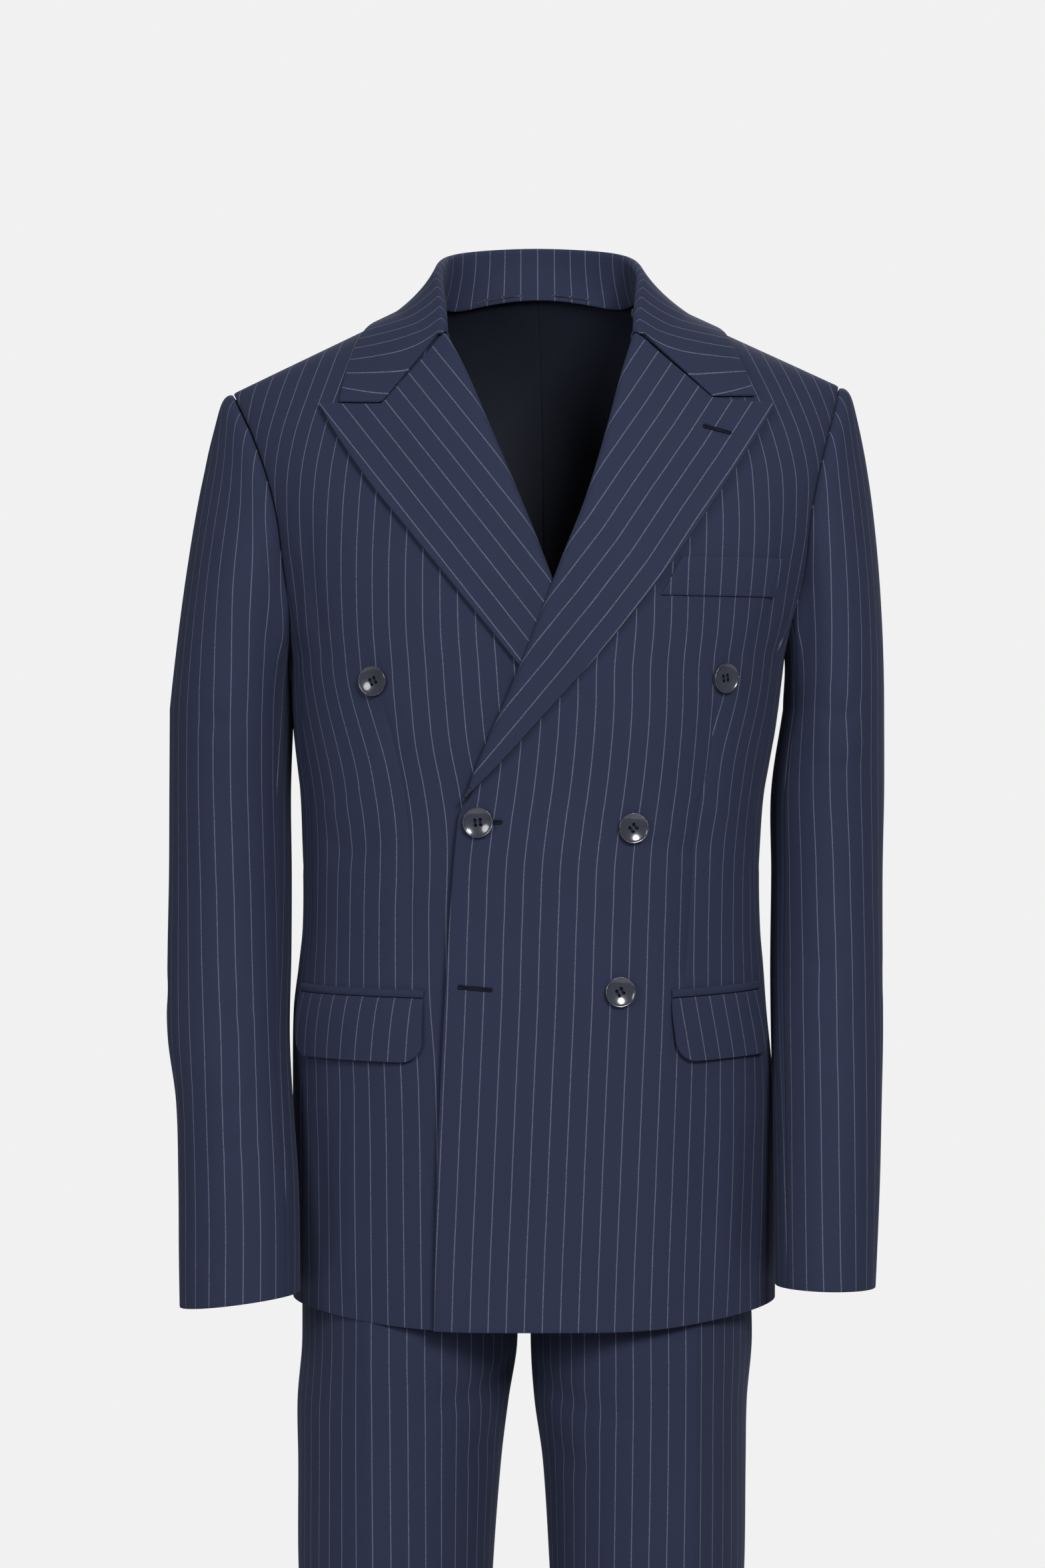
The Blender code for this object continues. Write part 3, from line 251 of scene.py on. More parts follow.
@dataclass
class ClothWall:
    """One piece of cloth with its thickness, rounded borders and cloth coordinates."""

    name: str
    points: Array
    across: Array
    edges: tuple
    facing: int = 1
    thickness: float = CLOTH
    normals: Array | None = None
    dart_column: int | None = None
    dart_take: Array | None = None
    lengthwise: Array | None = None
    held: str = "hung"
    rests_on: tuple = ()
    nodes: tuple = ()

    def build(self, finishes: tuple) -> Piece:
        """Mesh object of the wall, attached under the root.

        Args:
            finishes: Material of the face, and of the inner face.

        Returns:
            The finished piece.
        """
        normals = grid_normals(self.points, self.facing) if self.normals is None else self.normals
        upward = self.lengthwise
        if upward is None:
            upward = run_lengths(np.swapaxes(self.points, 0, 1)).T
        beyond = self.across if self.dart_take is None else self.across + self.dart_take[:, None]
        grid = np.concatenate([self.points, normals, self.across[..., None],
                               beyond[..., None], upward[..., None]], axis=-1)
        low, high, left, right = self.edges
        grid = with_border(with_border(grid, low, True), high, False)
        grid = np.swapaxes(grid, 0, 1)
        grid = np.swapaxes(with_border(with_border(grid, left, True), right, False), 0, 1)
        rows, columns = grid.shape[:2]
        drop = np.maximum(border_drop(rows, low, high)[:, None], border_drop(columns, left, right))
        points, normals = grid[..., :3], unit(grid[..., 3:6])
        scale = self.thickness / CLOTH
        outer = points - normals * (drop * scale)[..., None]
        inner = points - normals * (self.thickness - 0.3 * drop * scale)[..., None]
        split = columns if self.dart_column is None else self.dart_column + 3
        outside = np.where(np.arange(columns - 1)[None, :] >= split, 1, 0)
        piece = self._mesh(outer, inner, grid, outside, finishes)
        self._declare(piece, outer, grid)
        return piece

    def _mesh(self, outer: Array, inner: Array, grid: Array, beyond: Array,
              finishes: tuple) -> Piece:
        """Joins the two faces at the borders, and lays the cloth coordinates."""
        rows, columns = grid.shape[:2]
        index = np.arange(rows * columns).reshape(rows, columns)
        quads = np.stack([index[:-1, :-1], index[:-1, 1:], index[1:, 1:], index[1:, :-1]], axis=-1)
        quads = quads.reshape(-1, 4)
        if self.facing < 0:
            quads = quads[:, ::-1]
        rim = np.concatenate([index[0, :], index[1:, -1], index[-1, -2::-1], index[-2:0:-1, 0]])
        after = np.roll(rim, -1)
        count = rows * columns
        walls = np.stack([rim, rim + count, after + count, after], axis=-1)
        if self.facing < 0:
            walls = walls[:, ::-1]
        faces = np.concatenate([quads, quads[:, ::-1] + count, walls])
        mesh = bpy.data.meshes.new(f"cloth_{self.name}")
        vertices = np.concatenate([outer.reshape(-1, 3), inner.reshape(-1, 3)])
        mesh.from_pydata(vertices.tolist(), [], faces.tolist())
        beyond = np.broadcast_to(beyond, (rows - 1, columns - 1)).reshape(-1)
        beyond = np.concatenate([beyond, beyond, np.zeros(len(walls), dtype=int)])
        flat = grid.reshape(count, -1)
        corners = faces.reshape(-1) % count
        chosen = np.where(np.repeat(beyond, 4) > 0, flat[corners, 7], flat[corners, 6])
        layer = mesh.uv_layers.new(name="cloth")
        layer.data.foreach_set("uv", np.stack([chosen, flat[corners, 8]], axis=-1).ravel())
        for finish in finishes:
            mesh.materials.append(finish)
        inside = np.zeros(len(faces), dtype=np.int32)
        inside[len(quads):2 * len(quads)] = 1
        mesh.polygons.foreach_set("material_index", inside)
        mesh.shade_smooth()
        mesh.update()
        return placed(mesh)

    def _declare(self, piece: Piece, outer: Array, grid: Array) -> None:
        """Attaches the piece under the root, hides the parts it stands for, and logs the size of
        its flat cut.
        """
        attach(piece, "root")
        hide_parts(*(self.nodes or (self.name,)))
        sides = np.cross(outer[1:, 1:] - outer[:-1, :-1], outer[1:, :-1] - outer[:-1, 1:])
        area = float(np.linalg.norm(sides, axis=-1).sum() / 2)
        width = max(float(np.ptp(grid[..., 6:8])), 0.012)
        length = max(float(np.ptp(grid[..., 8])), area / width)
        list(self.rests_on)
        LOG.info("%s: %d faces, cut %.0f x %.0f mm", piece.name, len(piece.data.polygons),
                 width * 1000, length * 1000)


SEAMS = (Edge.SEAM, Edge.SEAM, Edge.SEAM, Edge.SEAM)
HEMMED = (Edge.FOLD, Edge.SEAM, Edge.SEAM, Edge.SEAM)
TURNED = (Edge.FOLD, Edge.SEAM, Edge.FOLD, Edge.FOLD)


# ======== jacket body
@dataclass(frozen=True)
class BodyForm:
    """Outer face of the jacket's body, by angle round it and level up it.

    The angle starts at the centre front and turns towards the wearer's left. The level is
    -1 at the hem, 0 at the armpit and 1 at the shoulder seam.
    """

    hem: float = -0.745
    armpit: float = -0.262
    ridge: float = 0.0384
    slope: float = 0.466
    tilt: float = 0.012
    ridge_y: float = 0.01
    power: float = 2.4
    neck_half: float = 0.0775
    nape_level: float = 0.9415
    nape_half: float = 0.05
    armhole_low: float = 0.24
    lap_lift: float = 0.0062
    # height, centre, half width, front, back
    sections: tuple = milli(
        (-745, -1.5, 176.5, 121, 137), (-660, -1.5, 176.8, 121.5, 139),
        (-580, -2, 176.3, 122, 136), (-520, -4.5, 173.2, 122, 130),
        (-488, -3.8, 170.2, 121.5, 125.5), (-460, -3.5, 167.6, 121, 122),
        (-415, -3.7, 167.1, 121, 120), (-370, -3.1, 169, 122.5, 121),
        (-320, -1.5, 176.2, 126, 128), (-262, 1, 181, 129, 136),
    )
    # level, half width, front angle, back angle, centre
    yoke: tuple = (
        (0.0, 0.181, 71.0, 109.5, 0.001),
        (0.24, 0.196, 71.0, 109.5, 0.0055),
        (0.5, 0.209, 66.5, 114.0, 0.0052),
        (0.8, 0.2225, 69.0, 111.5, 0.003),
        (1.0, 0.226, 79.0, 101.0, 0.0),
    )
    hem_rise: float = 0.86
    hem_flat: float = 0.045
    hem_from: float = -0.62
    hem_reach: float = 0.125
    yoke_run: float = 0.34
    yoke_drop: float = 0.07
    # where the lap begins across and upwards, and over what distance
    lap_start: tuple = (0.13, -0.115)
    lap_reach: tuple = (0.055, 0.1)

    def levels(self, gap: float) -> Array:
        """Levels of a panel's rows, nearly even in distance."""
        lower = np.linspace(-1.0, 0.0, int((self.armpit - self.hem) / gap))
        upper = np.sin(np.linspace(0.0, math.pi / 2, int(self.yoke_run / gap)))
        return np.concatenate([lower, upper[1:]])

    def low_level(self, height: Array) -> Array:
        """Level of a height below the armpit."""
        return (height - self.armpit) / (self.armpit - self.hem)

    def turn(self, share: Array) -> Array:
        """Angle at which the outer face reaches a share of its half width."""
        return np.sign(share) * np.arcsin(np.minimum(np.abs(share), 1.0) ** (self.power / 2))

    def shoulder(self, x: Array) -> Array:
        """Height of the shoulder line at a distance from the centre, rounded off there."""
        aside = np.abs(x)
        round_off = (aside ** 2 + self.nape_half ** 2) / (2 * self.nape_half)
        aside = np.where(aside < self.nape_half, round_off, aside)
        return self.ridge - self.slope * aside + self.tilt * x

    def point(self, angle: Array, level: Array) -> Array:
        """Points of the outer face."""
        angle, level = paired(angle, level)
        level = np.minimum(level, 1.0)
        sine, cosine = np.sin(angle), np.cos(angle)
        across = np.sign(sine) * np.abs(sine) ** (2 / self.power)
        depth = np.abs(cosine) ** (2 / self.power)
        height = self.armpit + np.minimum(level, 0.0) * (self.armpit - self.hem)
        row = table_at(self.sections, height)
        y = np.where(cosine > 0, -row[..., 3], row[..., 4]) * depth
        upper = np.maximum(level, 0.0)
        yoke = table_at(self.yoke, upper)
        x = np.where(level > 0, yoke[..., 4] + yoke[..., 1] * across,
                     row[..., 1] + row[..., 2] * across)
        y = np.where(level > 0, self.ridge_y + (y - self.ridge_y) * np.sqrt(1 - upper ** 2), y)
        rise = self.armpit + (self.shoulder(x) - self.armpit) * level
        raised = self.hem_rise * np.maximum(np.abs(x) - self.hem_flat, 0.0) ** 2
        height = height + raised * ease((self.hem_from - height) / self.hem_reach)
        return np.stack([x, y, np.where(level > 0, rise, height)], axis=-1)

    def normal(self, angle: Array, level: Array) -> Array:
        """Unit normals; along the shoulder seam front and back share theirs."""
        step = 0.004
        angle, level = paired(angle, level)
        across = self.point(angle + step, level) - self.point(angle - step, level)
        upward = self.point(angle, level + step) - self.point(angle, level - step)
        normal = unit(np.cross(across, upward))
        side = np.sign(self.point(angle, level)[..., 0])
        seam = unit(np.stack([side * self.slope - self.tilt, 0 * side, 0 * side + 1], axis=-1))
        return np.where((level >= 1)[..., None], seam, normal)

    def place(self, x: Array, z: Array) -> tuple[Array, Array]:
        """Angle and level of points of the front, from their front view."""
        x, z = paired(x, z)
        row = table_at(self.sections, z)
        lower = (x - row[..., 1]) / row[..., 2]
        level = np.clip((z - self.armpit) / (self.shoulder(x) - self.armpit), 0.0, 1.0)
        yoke = table_at(self.yoke, level)
        upper = (x - yoke[..., 4]) / yoke[..., 1]
        below = z <= self.armpit
        share = np.where(below, lower, upper)
        return self.turn(share), np.where(below, self.low_level(z), level)

    def lap(self, points: Array) -> Array:
        """How far the overlapping front stands off at points."""
        inside = (np.array(self.lap_start) - points[..., ::2]) / self.lap_reach
        return self.lap_lift * ease(inside).prod(axis=-1)

    def raised(self, place: Array, lift: Array, over: bool) -> tuple[Array, Array]:
        """Points above the front at places of its front view, and the normals there."""
        return self.raised_round(*self.place(place[..., 0], place[..., 1]), lift, over)

    def raised_round(self, angle: Array, level: Array, lift: Array,
                     over: bool) -> tuple[Array, Array]:
        """Points above the body at angles and levels, and the normals there."""
        points, normals = self.point(angle, level), self.normal(angle, level)
        lift = lift + (self.lap(points) if over else 0.0)
        return points + normals * np.asarray(lift)[..., None], normals

    def line_angle(self, line: tuple, level: Array) -> Array:
        """Angle at each level of a line given as (height, across) in the front view."""
        level = np.asarray(level, float)
        height = self.armpit + level * (self.armpit - self.hem)
        across = table_at(line, height)[..., 1]
        for _ in range(12):
            rise = self.armpit + (self.shoulder(across) - self.armpit) * level
            across = np.where(level > 0, table_at(line, rise)[..., 1], across)
        row, yoke = table_at(self.sections, height), table_at(self.yoke, np.maximum(level, 0))
        share = np.where(level > 0, (across - yoke[..., 4]) / yoke[..., 1],
                         (across - row[..., 1]) / row[..., 2])
        return self.turn(share)

    def outer_angle(self, level: Array, side: int, back: bool) -> Array:
        """Angle of a panel's outer edge: the side seam, then the armhole."""
        row = table_at(self.yoke, np.maximum(level, self.armhole_low))
        return side * np.radians(row[..., 3] if back else row[..., 2])

    def armhole_level(self, angle: Array) -> Array:
        """Level of the armhole's lower curve over the side panel, by angle in degrees."""
        half = np.where(angle < 90, self.yoke[0][2], self.yoke[0][3])
        share = np.minimum(np.abs((90 - angle) / (90 - half)), 1.0)
        return self.armhole_low * (1 - np.sqrt(1 - share ** 2))

    def neck_angle(self, level: Array, side: int) -> Array:
        """Angle of a back panel's inner edge: the centre seam, then the neck curve."""
        drop = np.clip((1 - level) / (1 - self.nape_level), 0.0, 1.0)
        yoke = table_at(self.yoke, np.clip(level, 0, 1))
        reach = self.neck_half * np.sqrt(1 - drop ** 2)
        share = np.maximum(reach - side * yoke[..., 4], 0) / yoke[..., 1]
        return side * (math.pi - self.turn(np.where(drop < 1, share, 0.0)))

    def from_height(self, angle: Array, height: Array) -> Array:
        """Points by angle in degrees and height, for creases."""
        upper = (height - self.armpit) / (self.ridge - self.yoke_drop - self.armpit)
        level = np.where(height > self.armpit, upper, self.low_level(height))
        return self.point(np.radians(angle), level)


BODY = BodyForm()


@dataclass(frozen=True)
class Front:
    """One front of the jacket: free edge, roll line, dart, and where its stripes run."""

    side: int
    over: bool
    name: str
    # height, across
    edge: tuple
    dart: tuple
    guide: tuple
    creases: tuple
    tuck_from: float
    tuck: float = 0.0042
    take_from: float = -0.268
    take_reach: float = 0.075
    dart_top: float = -0.29
    dart_end: float = -0.497
    tuck_reach: float = 0.016
    beside: float = 0.0055
    # depth, reach and power of the dart's stitched line, and of the hollow round it
    dart_relief: tuple = ((0.0007, 0.0012, 1), (0.0012, 0.012, 2))
    row_gap: float = 0.0042
    columns: tuple = (34, 30)

    def free_edge(self, level: Array) -> Array:
        """Angle of the edge; above the break it is tucked back inside the roll."""
        height = BODY.armpit + level * (BODY.armpit - BODY.hem)
        height = np.where(level > 0, -0.262 + level * 0.26, height)
        tucked = self.tuck * ease((height - self.tuck_from) / self.tuck_reach)
        angle = BODY.line_angle(self.edge, level)
        reach = np.linalg.norm(BODY.point(angle + 0.01, level) - BODY.point(angle, level), axis=-1)
        return angle + self.side * tucked / reach * 0.01

    def stripes(self, angle: Array, level: Array) -> Array:
        """Metres across the grain from the guide stripe, before the dart's take-up."""
        guide = BODY.line_angle(self.guide, level)
        shares = np.linspace(0.0, 1.0, 40)
        angles = guide[..., None] + (angle - guide)[..., None] * shares
        run = run_lengths(BODY.point(angles, np.asarray(level)[..., None]), flat=True)[..., -1]
        return run * np.sign(angle - guide) * self.side

    def take_up(self, height: Array) -> Array:
        """Cloth taken up by the dart at a height."""
        return STRIPE_STEP * ease((self.take_from - height) / self.take_reach)

    def matched(self, angle: Array, level: Array) -> Array:
        """Metres across the grain on a piece that lies outside the dart."""
        points = BODY.point(angle, level)
        return self.stripes(angle, level) + self.take_up(points[..., 2])

    def build(self, finishes: tuple) -> Piece:
        """Forepart from its free edge, roll line and neck to the side seam and armhole."""
        level = BODY.levels(self.row_gap)
        start, end = self.free_edge(level), BODY.outer_angle(level, self.side, False)
        fine = spread(start, end, 260)
        section = BODY.point(fine, level[:, None])
        lengths = run_lengths(section)
        ahead = (section[..., 0] - table_at(self.dart, section[..., 2])[..., 1]) * self.side
        seam = np.stack([np.interp(0.0, a, s) for a, s in zip(ahead, lengths)])
        total = lengths[:, -1]
        inner, outer = self.columns
        near = np.array([-0.0028, -0.001, 0.0, 0.001, 0.0028])
        wanted = np.concatenate([spread(0 * seam, seam - self.beside, inner), seam[:, None] + near,
                                 spread(seam + self.beside, total, outer)], axis=1)
        angle = along_rows(wanted, lengths, fine)
        flat = BODY.point(angle, level[:, None])
        relief = crease_relief(flat, self.creases, BODY.from_height)
        tall = flat[..., 2]
        span = ease((self.dart_top - tall) / 0.02) * ease((tall - self.dart_end) / 0.01)
        gap = np.abs(wanted - seam[:, None])
        for depth, reach, power in self.dart_relief:
            relief -= depth * span * np.exp(-(gap / reach) ** power)
        points, normals = BODY.raised_round(angle, level[:, None], relief, self.over)
        across = self.stripes(angle, np.broadcast_to(level[:, None], angle.shape))
        return ClothWall(f"forepart_{self.name}", points, across,
                         (Edge.FOLD, Edge.SEAM, Edge.FOLD, Edge.SEAM), self.side, CLOTH, normals,
                         inner + 2, self.take_up(flat[:, inner + 2, 2]),
                         rests_on=(f"back_{self.name}",)).build(finishes)


@dataclass(frozen=True)
class SidePanel:
    """Panel under the arm, up to the armhole's lower curve."""

    side: int
    name: str
    creases: tuple = creased(
        (-1.6, 10, 84, -300, 88, -350, 86, -420), (1.4, 9, 96, -330, 94, -390, 97, -450),
    )
    shape: tuple = (110, 22)

    def build(self, finishes: tuple) -> Piece:
        """Mesh of the panel."""
        rows, columns = self.shape
        angle = np.linspace(BODY.yoke[0][2], BODY.yoke[0][3], columns)
        level = -1 + (BODY.armhole_level(angle) + 1) * np.linspace(0, 1, rows)[:, None]
        turn = self.side * np.radians(np.broadcast_to(angle, level.shape))
        flat = BODY.point(turn, level)
        relief = crease_relief(flat, self.creases, self._place)
        points, normals = BODY.raised_round(turn, level, relief, False)
        across = run_lengths(flat, flat=True)
        across = across - across[:, columns // 2][:, None] + STRIPE_STEP / 2
        return ClothWall(f"side_panel_{self.name}", points, across, HEMMED, self.side, CLOTH,
                         normals, rests_on=(f"sleeve_under_{self.name}",)).build(finishes)

    def _place(self, angle: Array, height: Array) -> Array:
        """Crease places on this side of the body."""
        return BODY.from_height(self.side * angle, height)


@dataclass(frozen=True)
class BackPanel:
    """Half of the back, from the centre seam and neck to the side seam and armhole."""

    side: int
    name: str
    creases: tuple
    guide: float = 0.0889
    row_gap: float = 0.0045
    columns: int = 46

    def build(self, finishes: tuple) -> Piece:
        """Mesh of the panel."""
        level = BODY.levels(self.row_gap)
        start = BODY.neck_angle(level, self.side)
        end = BODY.outer_angle(level, self.side, True)
        fine = spread(start, end, 240)
        section = BODY.point(fine, level[:, None])
        lengths = run_lengths(section)
        wanted = lengths[:, -1:] * np.linspace(0, 1, self.columns)
        angle = along_rows(wanted, lengths, fine)
        flat = BODY.point(angle, level[:, None])
        relief = crease_relief(flat, self.creases, BODY.from_height)
        points, normals = BODY.raised_round(angle, level[:, None], relief, False)
        run = run_lengths(section, flat=True)
        ahead = np.abs(section[..., 0]) - self.guide
        line = np.stack([np.interp(0.0, a, r) for a, r in zip(ahead, run)])
        across = along_rows(wanted, lengths, run) - line[:, None]
        return ClothWall(f"back_{self.name}", points, across, HEMMED, -self.side, CLOTH, normals,
                         rests_on=(f"forepart_{self.name}",)).build(finishes)


# ======== lapels and collar
ROLL_BACK = -78.0


def notched(first: Array, notch: Array, last: Array, share: Array) -> Array:
    """Points of the bent line from first through the notch to last, less the straight one."""
    straight = last - first
    corner = float((notch - first) @ straight / (straight @ straight))
    share = np.asarray(share)[..., None]
    near = first + (notch - first) * share / corner
    far = notch + (last - notch) * (share - corner) / (1 - corner)
    return np.where(share <= corner, near, far) - (first + straight * share)


@dataclass(frozen=True)
class Lapel:
    """Peaked lapel: the cloth turns over at the roll line and lies back on its front."""

    front: Front
    # station, roll x, roll z, edge x, edge z
    rows: tuple
    notch: tuple
    # across, height of a stripe's line that passes outside the outer edge
    grain: tuple
    notch_reach: float = 0.45
    lie: float = 0.0024
    least_roll: float = 0.0024
    more_roll: float = 0.003
    belly: float = 0.0016
    belly_reach: float = 0.075
    edge_rise: float = 0.0024
    edge_reach: float = 0.012
    shape: tuple = (130, 15, 34)

    def place(self, station: Array, share: Array) -> Array:
        """Front view places on the lapel; a share below 0 lies beyond the roll line."""
        row = table_at(self.rows, station)
        roll, edge = row[..., 1:3], row[..., 3:5]
        top = np.array(self.rows[-1])
        bend = notched(top[1:3], np.array(self.notch), top[3:5], np.clip(share, 0, 1))
        fade = ease(1 - (1 - station) / self.notch_reach) ** 2
        return roll + (edge - roll) * share[..., None] + bend * fade[..., None]

    def radius(self, station: Array) -> Array:
        """Radius of the roll, smaller at its lower end and near the gorge."""
        soft = ease(station / 0.16) * (1 - 0.35 * ease((station - 0.75) / 0.25))
        return self.least_roll + self.more_roll * soft

    def lift(self, radius: Array, away: Array, edge_gap: Array) -> Array:
        """How far the lapel lies above its front, away from the roll and near its edge."""
        soft = (radius - self.least_roll) / self.more_roll
        belly = self.belly * soft * np.sin(math.pi * np.clip(away / self.belly_reach, 0, 1))
        rest = self.lie + (radius - 0.001 - self.lie) * np.exp(-(away / 0.016) ** 2)
        edge = self.edge_rise * np.exp(-edge_gap / self.edge_reach)
        return rest + belly * ease(edge_gap / 0.02) + edge

    def face(self, station: Array, columns: int) -> tuple[Array, Array, Array, Array]:
        """Flat part of the lapel.

        Args:
            station: Stations of its rows.
            columns: Number of columns from the roll to the outer edge.

        Returns:
            Points, normals, front view places and the direction away from the roll there.
        """
        share = np.linspace(0.0, 1.0, columns)
        place = self.place(*np.meshgrid(station, share, indexing="ij"))
        row = table_at(self.rows, station)
        width = np.linalg.norm(row[:, 3:5] - row[:, 1:3], axis=-1)[:, None]
        inward = (row[:, 3:5] - row[:, 1:3]) / width
        radius = self.radius(station)[:, None]
        place = place + inward[:, None, :] * (radius * (1 - share) ** 3)[..., None]
        away = np.linalg.norm(place - place[:, :1], axis=-1)
        lift = self.lift(radius, away, (1 - share) * width)
        points, normals = BODY.raised(place, lift, self.front.over)
        return points, normals, place, inward

    def roll(self, station: Array) -> tuple[Array, Array, Array, Array]:
        """Centre of the roll, directions away from the neck and outwards, and its radius."""
        points, normals, _, _ = self.face(station, self.shape[2])
        outward = normals[:, 0]
        away = points[:, 1] - points[:, 0]
        away = unit(away - outward * dot(away, outward))
        radius = self.radius(station)
        return points[:, 0] - outward * radius[:, None], away, outward, radius

    def build(self, finishes: tuple) -> Piece:
        """Mesh of the lapel, with its rolled fold."""
        count, turns, columns = self.shape
        station = np.linspace(0.0, 1.0, count)
        face, _, place, inward = self.face(station, columns)
        centre, away, outward, radius = self.roll(station)
        turn = np.radians(np.linspace(ROLL_BACK, 90.0, turns)[:-1])
        arc = rolled(centre, -away, outward, radius, turn)
        points = np.concatenate([arc, face], axis=1)
        back = (math.pi / 2 - turn) * radius[:, None]
        flat = np.concatenate([place[:, :1] - inward[:, None, :] * back[..., None], place], axis=1)
        return ClothWall(f"lapel_{self.front.name}", points,
                         line_distance(flat, np.array(self.grain))[0], TURNED, self.front.side,
                         CLOTH, held="folded",
                         rests_on=(f"cloth_forepart_{self.front.name}",)).build(finishes)


@dataclass(frozen=True)
class Collar:
    """Collar in one piece: up from the neck seam, over the fold and down to its edge."""

    lapels: tuple
    # station, fold x, fold y, fold z, edge x, edge angle, seam x, seam angle
    rows: tuple = (
        (0.0, -0.064, -0.066, -0.027, -0.1415, 51.3, -0.064, 58.0),
        (0.13, -0.069, -0.036, 0.001, -0.132, 70.0, -0.0735, 74.0),
        (0.25, -0.0715, 0.003, 0.0245, -0.1155, 90.0, -0.077, 91.0),
        (0.38, -0.057, 0.045, 0.0385, -0.08, 106.5, -0.06, 105.6),
        (0.5, 0.0, 0.074, 0.045, 0.0, 114.5, 0.0, 109.7),
        (0.62, 0.059, 0.045, 0.0385, 0.084, 106.5, 0.06, 105.6),
        (0.75, 0.076, 0.003, 0.0235, 0.129, 90.0, 0.077, 91.0),
        (0.87, 0.0745, -0.036, 0.001, 0.145, 70.0, 0.074, 74.0),
        (1.0, 0.07, -0.066, -0.027, 0.1572, 54.5, 0.07, 58.0),
    )
    radius: float = 0.0038
    foot_in: float = 0.0032
    foot_down: float = 0.0045
    clearance: float = 0.0006
    blend_reach: float = 0.2
    end_reach: float = 0.13
    # station, how far the fall sags below the straight line to its edge
    sag: tuple = milli((0, 0), (120, 4), (250, 9), (380, 5), (500, 2), (620, 5), (750, 9),
                       (880, 4), (1000, 0))
    shape: tuple = (170, 9, 13, 26)

    def over_shoulder(self, x: Array, turn: Array) -> Array:
        """Yoke points by distance from the centre and turn over the shoulder."""
        level = np.sin(np.radians(turn))
        yoke = table_at(BODY.yoke, level)
        share = (x - yoke[..., 4]) / yoke[..., 1]
        angle = BODY.turn(share)
        angle = np.where(turn > 90, np.where(share < 0, -math.pi, math.pi) - angle, angle)
        return BODY.point(angle, level)

    def clear(self, points: Array, distance: float) -> Array:
        """Points moved out from the yoke, in its fore-and-aft section, until clear."""
        rise = BODY.shoulder(points[..., 0]) - BODY.armpit
        level = np.clip((points[..., 2] - BODY.armpit) / rise, 0.0, 1.0)
        yoke = table_at(BODY.yoke, level)
        share = np.minimum(np.abs(points[..., 0] - yoke[..., 4]) / yoke[..., 1], 1.0)
        bow = (1 - share ** BODY.power) ** (1 / BODY.power)
        chest = BODY.sections[-1]
        behind = points[..., 1] > BODY.ridge_y
        reach = np.abs(np.where(behind, chest[4], -chest[3]) * bow - BODY.ridge_y)
        y, z = points[..., 1] - BODY.ridge_y, points[..., 2] - BODY.armpit
        inside = np.maximum(np.hypot(y / (reach + distance), z / (rise + distance)), 1e-6)
        scale = np.where(inside < 1, 1 / inside, 1.0)
        return np.stack([points[..., 0], BODY.ridge_y + y * scale, BODY.armpit + z * scale], -1)

    def _roll(self, station: Array) -> tuple[Array, Array, Array, Array]:
        """Roll of the collar, which runs into the lapels' rolls at its two ends.

        Args:
            station: Stations from one gorge round the neck to the other.

        Returns:
            Centre, directions towards the neck and upwards, and radius.
        """
        row = table_at(self.rows, station)
        foot = self.over_shoulder(row[:, 6], row[:, 7])
        toward = unit(np.column_stack([-foot[:, 0], BODY.ridge_y - foot[:, 1], 0 * station]))
        upward = np.broadcast_to(np.array([0.0, 0.0, 1.0]), toward.shape)
        radius = np.full(len(station), self.radius)
        centre = row[:, 1:4] - upward * self.radius
        for end, lapel in ((0.0, self.lapels[0]), (1.0, self.lapels[1])):
            weight = ease(1 - np.abs(station - end) / self.blend_reach)
            middle, away, outward, size = lapel.roll(np.array([0.99, 1.0]))
            ahead = unit(middle[1] - middle[0])
            centre += (middle[1] + ahead * SEAM - centre) * weight[:, None]
            toward = toward * (1 - weight)[:, None] - away[1] * weight[:, None]
            upward = upward * (1 - weight)[:, None] + outward[1] * weight[:, None]
            radius += (size[1] - radius) * weight
        toward = unit(toward)
        return centre, toward, unit(upward - toward * dot(upward, toward)), radius

    def build(self, finishes: tuple) -> Piece:
        """Mesh of the collar from one gorge round the neck to the other."""
        count, stands, turns, columns = self.shape
        station = np.linspace(0.0, 1.0, count)
        row = table_at(self.rows, station)
        centre, toward, upward, radius = self._roll(station)
        edge = self.over_shoulder(row[:, 4], row[:, 5])
        top = centre + upward * radius[:, None]
        crown = top + (edge - top) * 0.34
        crown[:, 2] -= table_at(self.sag, station)[:, 1]
        down = crown - centre
        leave = math.pi / 2 + np.arctan2(radius[:, None] - dot(down, upward), -dot(down, toward))
        leave = np.clip(leave[:, 0], math.radians(85), math.radians(165))
        ends = ease(1 - np.minimum(station, 1 - station) / self.end_reach)
        leave += (math.pi / 2 - leave) * ends
        near_end = ease(1 - np.minimum(station, 1 - station) / self.blend_reach)
        start = math.radians(ROLL_BACK) * near_end
        turn = spread(start, leave, turns)
        arc = rolled(centre, toward, upward, radius, turn)
        foot = self.over_shoulder(row[:, 6], row[:, 7])
        foot = foot + toward * self.foot_in - np.array([0.0, 0.0, self.foot_down])
        foot += (arc[:, 0] - upward * 0.0015 - foot) * ease(near_end * 1.4)[:, None]
        rise = np.linspace(0, 1, stands)[None, :-1, None]
        bow = arc[:, 0] - upward * np.linalg.norm(arc[:, 0] - foot, axis=-1)[:, None] * 0.5
        stand = (foot[:, None] * (1 - rise) ** 2 + bow[:, None] * 2 * rise * (1 - rise)
                 + arc[:, :1] * rise ** 2)
        share = np.linspace(0, 1, columns)[1:]
        rest, part = (1 - share)[None, :, None], share[None, :, None]
        fall = (arc[:, -1:] * rest ** 2 + crown[:, None] * 2 * rest * part
                + edge[:, None] * part ** 2)
        grain = np.concatenate([stand, arc, fall], axis=1)
        bend = self._bend(station, share, top, edge, radius)
        straight = top[:, None] + (edge - top)[:, None] * part
        fall += (straight - fall) * ends[:, None, None]
